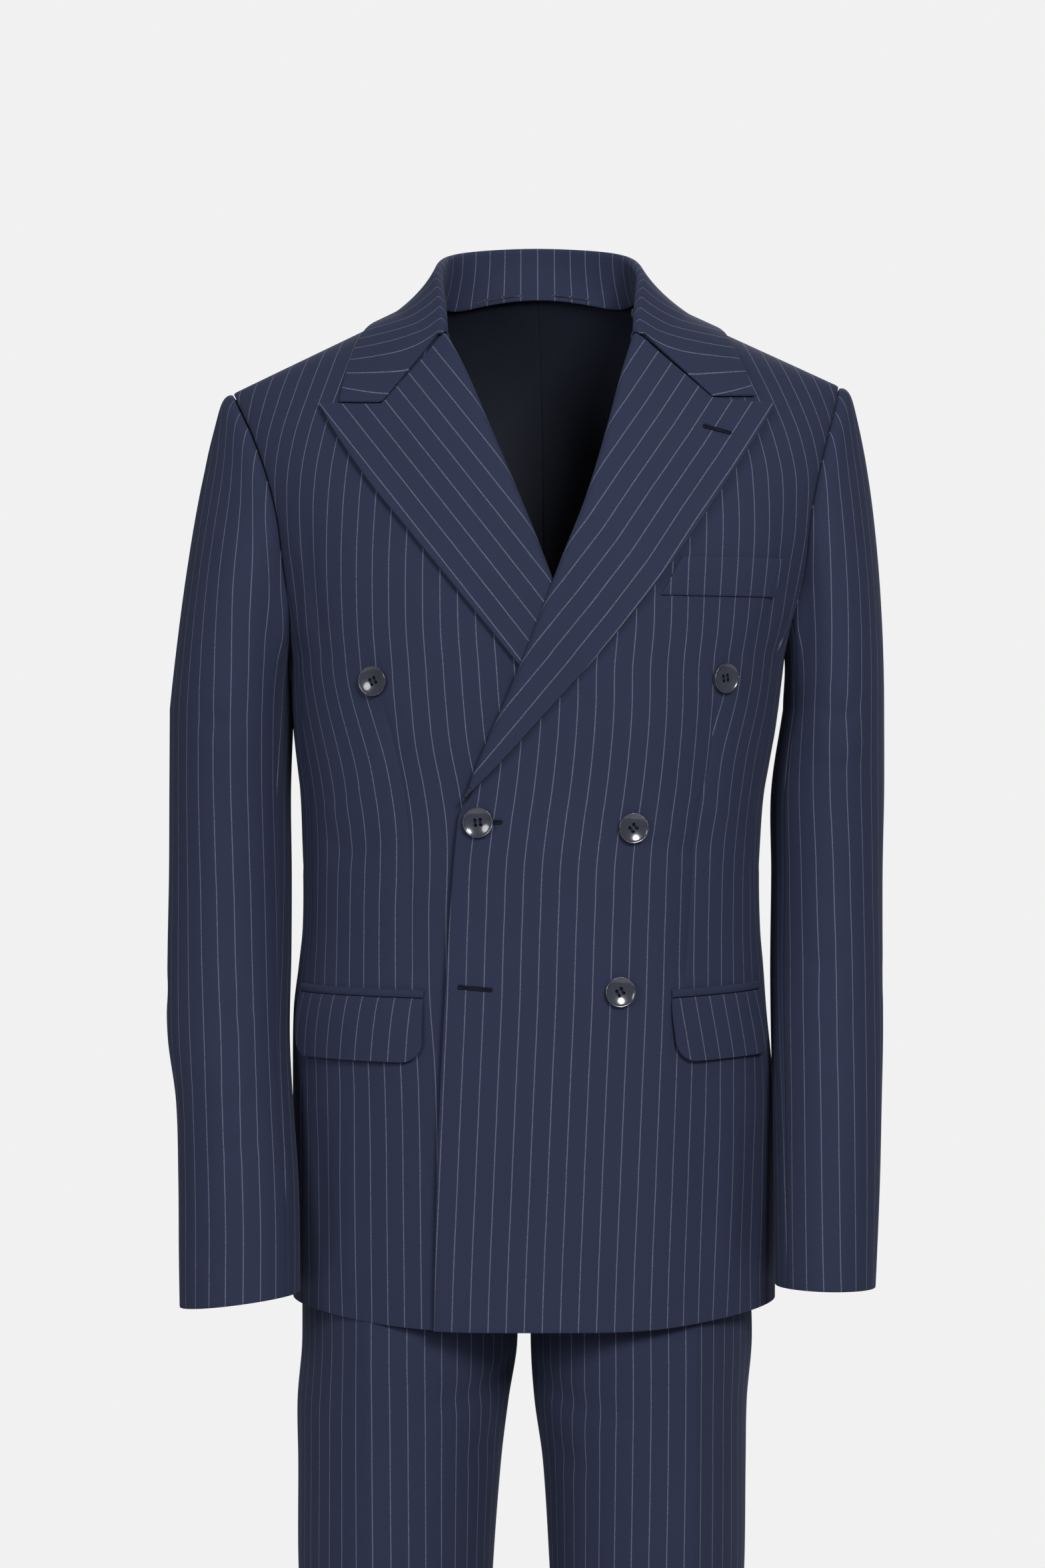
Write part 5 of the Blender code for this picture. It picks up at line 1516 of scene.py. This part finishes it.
def set_button(model: Piece, node: str, spot: tuple[Array, Array], turn: float) -> None:
    """Copies a button model to its place on the cloth."""
    point, normal = (np.asarray(part).reshape(3) for part in spot)
    side = unit(np.cross([0.0, 0.0, 1.0], normal))
    upward = np.cross(normal, side)
    matrix = Matrix((Vector(side), Vector(upward), Vector(normal))).transposed().to_4x4()
    matrix.translation = Vector(point)
    mesh = model.data.copy()
    mesh.transform(matrix @ Matrix.Rotation(turn, 4, "Z"))
    mesh.name = f"horn_{node}"
    piece = placed(mesh)
    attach(piece, "root")
    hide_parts(node)
    LOG.info("%s: %d faces", piece.name, len(mesh.polygons))


@dataclass(frozen=True)
class Fastenings:
    """Buttons of the fronts, the cuffs and the waistband, and the buttonholes."""

    sleeves: tuple
    trousers: Trousers
    front_form: ButtonForm = ButtonForm(0.0108, 0.0036)
    flat_form: ButtonForm = ButtonForm(0.0108, 0.0022, ((0.1, 0.0), (0.06, 0.03), (0.3, 0.03)))
    cuff_form: ButtonForm = ButtonForm(0.0074, 0.003)
    # node, x, z, on the overlapping front, turn in degrees
    places: tuple = (
        ("button_upper_left", 0.1343, -0.279, True, 12.0),
        ("button_upper_right", -0.116, -0.2815, False, 24.0),
        ("button_middle_left", 0.067, -0.386, True, 40.0),
        ("button_middle_right", -0.041, -0.382, True, 6.0),
        ("button_lower_left", 0.058, -0.503, True, 30.0),
    )
    hidden: tuple = (-0.044, -0.5)
    # name, inner end, outer end
    holes: tuple = (
        ("lower", (-0.0548, -0.4994), (-0.0315, -0.5014)),
        ("middle", (-0.044, -0.3822), (-0.0245, -0.3818)),
    )
    lapel_hole: tuple = ((0.119, -0.0993), (0.1385, -0.104))
    lapel_roll: tuple = (0.056, -0.08)
    thread_lift: float = 0.00015

    def build(self, horn: Material, thread: Material) -> None:
        """Makes each button once, and sets its copies."""
        large = self.front_form.model("large_button", horn, thread)
        for node, x, z, over, turn in self.places:
            spot = BODY.raised(np.array((x, z)), np.array(SEAM), over)
            set_button(large, node, spot, math.radians(turn))
        flat = self.flat_form.model("flat_button", horn, thread)
        spot = BODY.raised(np.array(self.hidden), np.array(SEAM), False)
        set_button(flat, "button_lower_right", spot, 0.3)
        small = self.cuff_form.model("small_button", horn, thread)
        for sleeve in self.sleeves:
            for index, spot in enumerate(sleeve.button_spots()):
                node = f"cuff_button_{sleeve.name}_{index + 1}"
                set_button(small, node, spot, 0.5 + 0.7 * index)
        set_button(small, "waistband_button", self.trousers.button_spot(), 0.2)
        for model in (large, flat, small):
            bpy.data.objects.remove(model, do_unlink=True)

    def sew_holes(self, thread: Material, lapel: Lapel) -> None:
        """Worked buttonholes: purled edges round a slit, a round eyelet and a bar."""
        for name, *ends in self.holes:
            outline = self._outline(*np.array(ends), 0.0009)
            points, normals = BODY.raised(outline, np.zeros(len(outline)), True)
            self._sewn(f"buttonhole_{name}", points + normals * self.thread_lift, thread)
        outline = self._outline(*np.array(self.lapel_hole), 0.0007)
        away = np.linalg.norm(outline - self.lapel_roll, axis=-1)
        lift = lapel.lift(lapel.radius(np.array(0.85)), away, np.full(len(outline), 0.015))
        points, normals = BODY.raised(outline, lift, True)
        self._sewn("buttonhole_lapel", points + normals * self.thread_lift, thread)

    def _outline(self, inner: Array, outer: Array, half: float) -> Array:
        """Closed path round a buttonhole in the front view, with a round eyelet end."""
        along = unit(outer - inner)
        side = np.array([-along[1], along[0]])
        length = float(np.linalg.norm(outer - inner))
        eyelet = half * 1.35
        path = [(eyelet + eyelet * math.cos(turn), eyelet * math.sin(turn))
                for turn in np.linspace(0.28 * math.pi, 1.72 * math.pi, 14)]
        path += [(share * length, -half) for share in np.linspace(0.1, 0.97, 40)]
        path += [(length, -half * 0.6), (length, half * 0.6)]
        path += [(share * length, half) for share in np.linspace(0.97, 0.1, 40)]
        path.append(path[0])
        flat = np.array(path)
        return inner + along * flat[:, :1] + side * flat[:, 1:]

    def _sewn(self, name: str, path: Array, thread: Material) -> None:
        """Thread piece along a path."""
        ends = path[[0, len(path) // 2]]
        slit = ends[0] + (ends[1] - ends[0]) * np.linspace(-0.03, 1, 30)[:, None]
        piece = cord_mesh(name, [path, slit], 0.00078, 7, (thread,), bead=0.16)
        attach(piece, "root")
        LOG.info("%s: %d faces", name, len(piece.data.polygons))


# ======== finishes
def link(tree: Tree, source: Socket | float, target: Socket) -> None:
    """Joins a socket to an input, or sets the input to a number."""
    if isinstance(source, (int, float)):
        target.default_value = source
    else:
        tree.links.new(source, target)


def maths(tree: Tree, operation: str, *values: object) -> Socket:
    """Output of a Math node on sockets or numbers."""
    node = tree.nodes.new("ShaderNodeMath")
    node.operation = operation
    for index, value in enumerate(values):
        link(tree, value, node.inputs[index])
    return node.outputs[0]


def tune(node: bpy.types.Node, values: dict) -> None:
    """Sets inputs of a node by their names."""
    for name, value in values.items():
        node.inputs[name].default_value = value


def ramp_between(tree: Tree, value: Socket, low: float, high: float,
                 start: float, end: float) -> Socket:
    """Smooth step of a value from one pair of limits to another."""
    node = tree.nodes.new("ShaderNodeMapRange")
    node.interpolation_type = "SMOOTHSTEP"
    tune(node, {"From Min": low, "From Max": high, "To Min": start, "To Max": end})
    tree.links.new(value, node.inputs["Value"])
    return node.outputs["Result"]


def noise(tree: Tree, vector: Socket, scale: float, detail: float = 2.0) -> Socket:
    """Factor of a Noise node."""
    node = tree.nodes.new("ShaderNodeTexNoise")
    tune(node, {"Scale": scale, "Detail": detail})
    tree.links.new(vector, node.inputs["Vector"])
    return node.outputs["Fac"]


def mixed(tree: Tree, share: object, first: object, second: object) -> Socket:
    """Colour between two others."""
    node = tree.nodes.new("ShaderNodeMix")
    node.data_type = "RGBA"
    link(tree, share, node.inputs[0])
    for socket, value in ((node.inputs[6], first), (node.inputs[7], second)):
        if isinstance(value, tuple):
            socket.default_value = (*value, 1.0)
        else:
            tree.links.new(value, socket)
    return node.outputs[2]


def new_material(name: str) -> tuple[Material, Tree, bpy.types.Node]:
    """Material with its node tree and its shader."""
    material = bpy.data.materials.new(name)
    material.use_nodes = True
    return material, material.node_tree, material.node_tree.nodes["Principled BSDF"]


def bumped(tree: Tree, shader: bpy.types.Node, height: Socket, distance: float,
           strength: float) -> None:
    """Fine relief of a shader, by a height."""
    relief = tree.nodes.new("ShaderNodeBump")
    tune(relief, {"Strength": strength, "Distance": distance})
    tree.links.new(height, relief.inputs["Height"])
    tree.links.new(relief.outputs[0], shader.inputs["Normal"])


@dataclass(frozen=True)
class PinstripeCloth:
    """Fine worsted twill with thin chalky stripes, laid by the cloth coordinates."""

    ground: tuple = (0.0164, 0.0214, 0.046)
    ground_light: tuple = (0.024, 0.0305, 0.064)
    chalk: tuple = (0.12, 0.135, 0.19)
    stripe_half: float = 0.00032
    stripe_fade: float = 0.00022
    twill_step: float = 0.00062
    roughness: float = 0.82
    sheen: float = 0.05
    bump: float = 0.00007

    def make(self) -> Material:
        """Material of the outer face."""
        material, tree, shader = new_material("pinstripe_worsted")
        coordinates = tree.nodes.new("ShaderNodeUVMap")
        coordinates.uv_map = "cloth"
        split = tree.nodes.new("ShaderNodeSeparateXYZ")
        tree.links.new(coordinates.outputs["UV"], split.inputs[0])
        across, along = split.outputs[0], split.outputs[1]
        wander = noise(tree, self._vector(tree, 0.0, along), 55.0)
        shift = maths(tree, "MULTIPLY", maths(tree, "SUBTRACT", wander, 0.5), 0.0003)
        moved = maths(tree, "ADD", across, shift)
        distance = maths(tree, "PINGPONG", moved, STRIPE_STEP / 2)
        line = ramp_between(tree, distance, self.stripe_half - self.stripe_fade,
                            self.stripe_half + self.stripe_fade, 1.0, 0.0)
        beads = noise(tree, self._vector(tree, maths(tree, "MULTIPLY", across, 0.9), along),
                      1150.0, 1.0)
        chalky = ramp_between(tree, beads, 0.3, 0.62, 0.42, 1.0)
        stripe = maths(tree, "MULTIPLY", line, chalky)
        weave = maths(tree, "MULTIPLY", maths(tree, "ADD", across, along),
                      2 * math.pi / self.twill_step)
        twill = maths(tree, "SINE", weave)
        grain = noise(tree, self._vector(tree, across, along), 2600.0, 2.0)
        thread = maths(tree, "ADD", maths(tree, "MULTIPLY", twill, 0.16), grain)
        cloud = noise(tree, self._vector(tree, across, along), 14.0, 3.0)
        tone = ramp_between(tree, thread, 0.3, 0.78, 0.0, 1.0)
        tone = maths(tree, "ADD", maths(tree, "MULTIPLY", tone, 0.72),
                     maths(tree, "MULTIPLY", cloud, 0.42))
        ground = mixed(tree, tone, self.ground, self.ground_light)
        colour = mixed(tree, stripe, ground, self.chalk)
        tree.links.new(colour, shader.inputs["Base Color"])
        height = maths(tree, "ADD", thread, maths(tree, "MULTIPLY", stripe, 0.7))
        bumped(tree, shader, height, self.bump, 0.55)
        tune(shader, {"Roughness": self.roughness, "Specular IOR Level": 0.12,
                      "Sheen Weight": self.sheen, "Sheen Roughness": 0.55,
                      "Sheen Tint": (0.62, 0.7, 1.0, 1.0)})
        return material

    def _vector(self, tree: Tree, across: object, along: object) -> Socket:
        """Vector of two cloth coordinates."""
        node = tree.nodes.new("ShaderNodeCombineXYZ")
        link(tree, across, node.inputs[0])
        link(tree, along, node.inputs[1])
        return node.outputs[0]


@dataclass(frozen=True)
class Mottled:
    """Finish of two close tones and a fine relief: lining, button resin or thread."""

    name: str
    dark: tuple
    light: tuple
    scale: float
    relief: float
    roughness: float
    coat: float = 0.0
    specular: float = 0.5

    def make(self) -> Material:
        """The material."""
        material, tree, shader = new_material(self.name)
        place = tree.nodes.new("ShaderNodeTexCoord").outputs["Object"]
        tone = noise(tree, place, self.scale)
        tree.links.new(mixed(tree, tone, self.dark, self.light), shader.inputs["Base Color"])
        bumped(tree, shader, tone, self.relief, 1.0)
        tune(shader, {"Roughness": self.roughness, "Specular IOR Level": self.specular,
                      "Coat Weight": self.coat, "Coat Roughness": 0.08})
        return material


LINING = Mottled("dark_lining", (0.01, 0.012, 0.022), (0.018, 0.021, 0.036), 900.0, 0.00004, 0.46)
HORN = Mottled("button_horn", (0.02, 0.0225, 0.037), (0.035, 0.038, 0.058), 120.0,
               0.000004, 0.22, 0.7)
THREAD = Mottled("sewing_thread", (0.0035, 0.0045, 0.01), (0.009, 0.0115, 0.023), 3200.0,
                 0.00008, 0.7, 0.0, 0.1)


# ======== studio
@dataclass(frozen=True)
class Studio:
    """Pale studio, soft lights and the camera."""

    camera_place: tuple = (-0.01, -3.93, -0.355)
    lens: float = 123.0
    frame_height: float = 36.0
    backdrop: tuple = (0.88, 0.88, 0.88)
    ambient: float = 0.22
    # name, place, size, power, colour
    lights: tuple = (
        ("key", (1.2, -3.2, 1.2), 1.3, 104.0, (1.0, 0.99, 0.98)),
        ("fill", (-2.2, -3.0, 0.5), 1.5, 48.0, (0.97, 0.98, 1.0)),
        ("top", (0.1, -0.5, 2.6), 1.4, 12.0, (1.0, 1.0, 1.0)),
        ("rim", (0.4, 2.8, 1.4), 1.8, 40.0, (1.0, 1.0, 1.0)),
    )
    aim: tuple = (0.0, 0.0, -0.45)
    floor_height: float = -1.562
    floor_reach: float = 1.9

    def build(self) -> None:
        """Camera, lights, world and floor."""
        scene = bpy.context.scene
        data = bpy.data.cameras.new("camera")
        data.sensor_fit = "VERTICAL"
        data.sensor_height = self.frame_height
        data.lens = self.lens
        camera = placed(data)
        camera.location = self.camera_place
        camera.rotation_euler = (math.pi / 2, 0.0, 0.0)
        scene.camera = camera
        for name, place, size, power, colour in self.lights:
            lamp = bpy.data.lights.new(name, "AREA")
            lamp.shape, lamp.size, lamp.energy, lamp.color = "DISK", size, power, colour
            thing = placed(lamp)
            thing.location = place
            aim = Vector(self.aim) - Vector(place)
            thing.rotation_euler = aim.to_track_quat("-Z", "Y").to_euler()
        world = bpy.data.worlds.new("studio")
        world.use_nodes = True
        self._surroundings(world.node_tree)
        scene.world = world
        self._floor()
        scene.view_settings.view_transform = "Standard"

    def _surroundings(self, tree: Tree) -> None:
        """Pale backdrop, which lights the suit more dimly than it looks."""
        background = tree.nodes["Background"]
        background.inputs["Color"].default_value = (*self.backdrop, 1)
        seen = tree.nodes.new("ShaderNodeLightPath").outputs["Is Camera Ray"]
        brighter = maths(tree, "MULTIPLY", seen, 1 - self.ambient)
        strength = maths(tree, "ADD", brighter, self.ambient)
        tree.links.new(strength, background.inputs["Strength"])

    def _floor(self) -> None:
        """Plain round floor under the trousers' hems."""
        deselect()
        bpy.ops.mesh.primitive_cylinder_add(vertices=96, radius=self.floor_reach, depth=0.02,
                                            location=(0, 0, self.floor_height - 0.01))
        floor = bpy.context.object
        floor.name = "floor"
        bpy.ops.object.transform_apply(location=True, rotation=True, scale=True)
        bevel = floor.modifiers.new("rim", "BEVEL")
        bevel.width, bevel.segments = 0.004, 2
        bpy.ops.object.modifier_apply(modifier="rim")
        material, tree, shader = new_material("pale_floor")
        place = tree.nodes.new("ShaderNodeTexCoord").outputs["Object"]
        tone = mixed(tree, noise(tree, place, 6.0), (0.78, 0.78, 0.78), (0.84, 0.84, 0.84))
        tree.links.new(tone, shader.inputs["Base Color"])
        shader.inputs["Roughness"].default_value = 0.7
        floor.data.materials.append(material)


# ======== the suit
# height, across of the guide stripe on the left and on the right front
FRONT_GUIDES = milli(
    (-745, 54.5, -69.5), (-698, 56, -70), (-651, 58, -70.5), (-603, 60, -71), (-556, 62, -72.5),
    (-509, 64, -76), (-471, 65, -76.8), (-442, 66, -76.8), (-414, 67, -76), (-386, 70, -76.5),
    (-357, 74, -80.5), (-329, 77, -86), (-301, 79, -89), (-272, 79.5, -91), (-244, 82, -93),
    (-215, 83, -93.5), (-187, 84, -93), (-159, 84.5, -91.5), (-130, 83, -89), (-102, 80, -85),
    (-65, 70, -76), (-30, 57, -65), (0, 45, -56), (22, 36, -49),
)
FRONT_LEFT = Front(
    side=1, over=True, name="left",
    edge=milli(
        (-745, -72), (-606, -69), (-467, -62), (-383, -55.5), (-362, -50), (-329, -37),
        (-290, -20), (-245, -2), (-209, 11.5), (-160, 31.5), (-104, 49), (-58, 61), (-28, 70),
        (2.3, 77.5),
    ),
    dart=milli(
        (-493, 106), (-438, 110), (-372, 116), (-343, 124), (-309, 128), (-287, 131),
    ),
    guide=tuple(row[:2] for row in FRONT_GUIDES),
    creases=creased(
        (-1.4, 12, 16, -392, 34, -402, 52, -396), (1.2, 12, 30, -352, 46, -372, 58, -378),
        (-1.8, 12, 52, -150, 58, -205, 56, -262), (-1.4, 10, 62, -170, 66, -230),
        (1.4, 18, 4, -640, 10, -690, 8, -742), (1.8, 22, 44, -570, 50, -650, 46, -742),
        (-1.8, 18, 62, -600, 58, -680, 64, -742),
    ),
    tuck_from=-0.376,
)
FRONT_RIGHT = Front(
    side=-1, over=False, name="right",
    edge=milli(
        (-745, 55), (-500, 63), (-370, 67), (-344, 64), (-300, 47), (-209, 11), (-129.5, -20.3),
        (-62, -48), (-28, -64), (2.3, -77.5),
    ),
    dart=milli(
        (-498, -90), (-402, -91.5), (-361, -95), (-320, -104), (-292, -112),
    ),
    guide=tuple(row[::2] for row in FRONT_GUIDES),
    creases=creased(
        (-1.4, 12, -32, -392, -48, -404, -60, -398), (1.2, 12, -36, -352, -50, -374, -62, -380),
        (-1.8, 12, -52, -150, -57, -210, -55, -270), (-1.4, 10, -62, -180, -66, -240),
        (1.6, 22, -44, -580, -48, -650, -44, -742), (-1.6, 18, -61, -590, -58, -670, -63, -742),
    ),
    tuck_from=-0.36,
)
LAPEL_LEFT = Lapel(
    front=FRONT_LEFT,
    rows=milli(
        (0, -50, -362.5, -52.5, -366.2), (100, -37, -329, -31, -345),
        (220, -20, -290, 5, -305.5), (350, -2, -245, 39.4, -266.5),
        (490, 17, -196, 71.6, -227.5), (630, 35, -150, 104, -185), (760, 49, -104, 136.2, -137),
        (890, 60, -62, 160, -100.2), (1000, 69.5, -30, 171, -81.2),
    ),
    notch=(0.1257, -0.0772),
    grain=milli(
        (225, -18), (175.7, -94.8), (149.7, -134.9), (122.7, -174.3), (97.2, -212.8),
        (67.6, -251.7), (36.7, -289.8), (5.5, -327.6), (-60, -406.6),
    ),
)
LAPEL_RIGHT = Lapel(
    front=FRONT_RIGHT,
    rows=milli(
        (0, 64.5, -346, 60, -351), (100, 54, -318, 35, -327), (220, 36, -272, 5.4, -292),
        (350, 18, -226, -20.7, -260), (490, -1, -176, -60.1, -211.5),
        (630, -19, -132, -91.4, -173), (760, -34.5, -95, -119.1, -138.5),
        (890, -49, -60, -142.7, -104), (1000, -63.5, -30, -155.7, -81.2),
    ),
    notch=(-0.1105, -0.0822),
    grain=milli((-240.9, 7.7), (107, -439.5)),
)
SLEEVE_LEFT = Sleeve(
    side=1, name="left", cuff=-0.716,
    rows=milli(
        (-725.5, 207.5, 35.8, -78, 48, 1), (-699, 208.4, 36.6, -73, 49, 0.5),
        (-641, 209.8, 38.3, -62, 51, 0), (-584, 210.8, 39.5, -48, 54, 0),
        (-537, 211.8, 40.8, -28, 57, 0), (-488, 212.4, 41.1, -10, 59, 0),
        (-420, 213.3, 40.8, 0, 62, 0), (-360, 214, 41.4, 3, 66, 0), (-300, 218.4, 37, 4, 70, 0),
    ),
    guide=milli(
        (-745.6, 217.3), (-707.9, 216.5), (-670.4, 216.1), (-632.9, 215.9), (-595.4, 215.9),
        (-557.9, 215.9), (-520.3, 215.9), (-482.3, 216.2), (-443.9, 215.2), (-405.5, 214.2),
        (-367, 212.3), (-347.7, 211.8), (-309.2, 211.7), (-290, 212.1), (-270.7, 212.9),
        (-251.5, 213.2), (-232.2, 213.2), (-212.9, 213), (-193.6, 212.7), (-174, 212),
        (-154.4, 211.2), (-134.7, 210.1), (-115, 207.5), (-95.2, 201.9),
    ),
    creases=creased(
        (-2.8, 9, 60, -296, 86, -306, 112, -298), (1.6, 10, 50, -320, 84, -332, 110, -328),
        (-1.8, 10, 70, -470, 96, -486, 114, -478), (1.4, 10, 64, -505, 90, -520, 112, -512),
        (-1.4, 9, 76, -545, 100, -560), (-1.4, 14, -60, -480, -20, -502, 10, -496),
    ),
)
SLEEVE_RIGHT = Sleeve(
    side=-1, name="right", shoulder_reach=0.015, cap_lean=0.012,
    rows=milli(
        (-725.5, -213.3, 43.3, -78, 46, 5.5), (-690, -214, 43.6, -71, 47, 3),
        (-641, -215.2, 43.4, -61, 49, 0), (-584, -218.8, 42.4, -47, 52, 0),
        (-537, -224, 44.5, -29, 55, 0), (-480, -224.5, 45.3, -9, 58, 0),
        (-420, -224.3, 45, 0, 62, 0), (-360, -224.6, 44.6, 3, 66, 0),
        (-300, -223.4, 45.5, 4, 70, 0),
    ),
    guide=milli(
        (-750.5, -196.6), (-708.1, -196.5), (-670.7, -196.8), (-633.2, -198.1), (-595.6, -199.9),
        (-558, -201.6), (-520.3, -203.5), (-482.3, -205.3), (-443.9, -206.3), (-405.5, -207.5),
        (-367, -208.6), (-347.7, -208.9), (-309.2, -208.8), (-290, -208.3), (-270.7, -207.8),
        (-251.5, -207.4), (-232.2, -207), (-212.9, -206), (-193.6, -205.2), (-174, -205.1),
        (-154.4, -205.4), (-134.7, -205.5), (-117.4, -204.1), (-95.2, -201),
    ),
    creases=creased(
        (-2.2, 9, 78, -622, 98, -614, 114, -604), (-2.2, 9, 84, -530, 102, -520, 114, -508),
        (1.4, 11, 66, -568, 92, -574, 112, -562), (-1.8, 10, 56, -300, 84, -312, 112, -302),
        (-1.4, 14, -50, -490, -15, -512, 14, -500),
    ),
)
COLLAR = Collar(lapels=(LAPEL_RIGHT, LAPEL_LEFT))
BACK_CREASES = {
    1: creased(
        (-1.8, 12, 130, -150, 140, -200, 150, -225), (1.8, 14, 122, -200, 128, -260, 126, -320),
        (-1.4, 10, 168, -60, 160, -72, 150, -78), (-1.8, 14, 120, -405, 145, -418, 168, -408),
        (1.4, 13, 124, -440, 148, -452, 164, -446), (2.2, 24, 126, -600, 132, -670, 128, -742),
        (-2, 20, 152, -620, 156, -680, 150, -742),
    ),
    -1: creased(
        (-1.8, 12, -128, -145, -138, -196, -150, -216),
        (1.6, 14, -122, -210, -127, -270, -124, -325),
        (-1.2, 10, -168, -64, -158, -76, -148, -80),
        (-1.8, 14, -120, -412, -142, -420, -166, -404),
        (1.4, 13, -122, -448, -146, -456, -166, -440),
        (2, 24, -128, -590, -134, -660, -130, -742),
        (-2, 20, -154, -610, -158, -690, -153, -742),
    ),
}


def main() -> None:
    """Builds the jacket, the trousers, the buttons and the studio in order."""
    logging.basicConfig(level=logging.INFO, format="%(message)s", stream=sys.stdout)
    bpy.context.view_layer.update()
    cloth, lining = PinstripeCloth().make(), LINING.make()
    horn, thread = HORN.make(), THREAD.make()
    finishes = (cloth, lining)
    for front in (FRONT_LEFT, FRONT_RIGHT):
        front.build(finishes)
        SidePanel(front.side, front.name).build(finishes)
        BackPanel(front.side, front.name, BACK_CREASES[front.side]).build(finishes)
    for lapel in (LAPEL_LEFT, LAPEL_RIGHT):
        lapel.build(finishes)
    COLLAR.build(finishes)
    welt = BreastWelt(FRONT_LEFT)
    welt.build(finishes)
    stitches = cord_mesh("welt_stitches", welt.stitches(), 0.00018, 6, (thread,))
    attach(stitches, "root")
    for pocket in (HipPocket(FRONT_LEFT, 0.0945, 72.0, 0.0045),
                   HipPocket(FRONT_RIGHT, -0.08, -72.0, 0.0025)):
        pocket.build_jet(finishes)
        pocket.build_flap(finishes)
    for sleeve in (SLEEVE_LEFT, SLEEVE_RIGHT):
        sleeve.build(finishes)
    trousers = Trousers()
    for side in (1, -1):
        for back in (False, True):
            trousers.build_panel(side, back, finishes)
    trousers.build_band(finishes)
    trousers.build_fly(finishes)
    fastenings = Fastenings((SLEEVE_LEFT, SLEEVE_RIGHT), trousers)
    fastenings.build(horn, thread)
    fastenings.sew_holes(thread, LAPEL_LEFT)
    Studio().build()


if __name__ == "__main__":
    main()
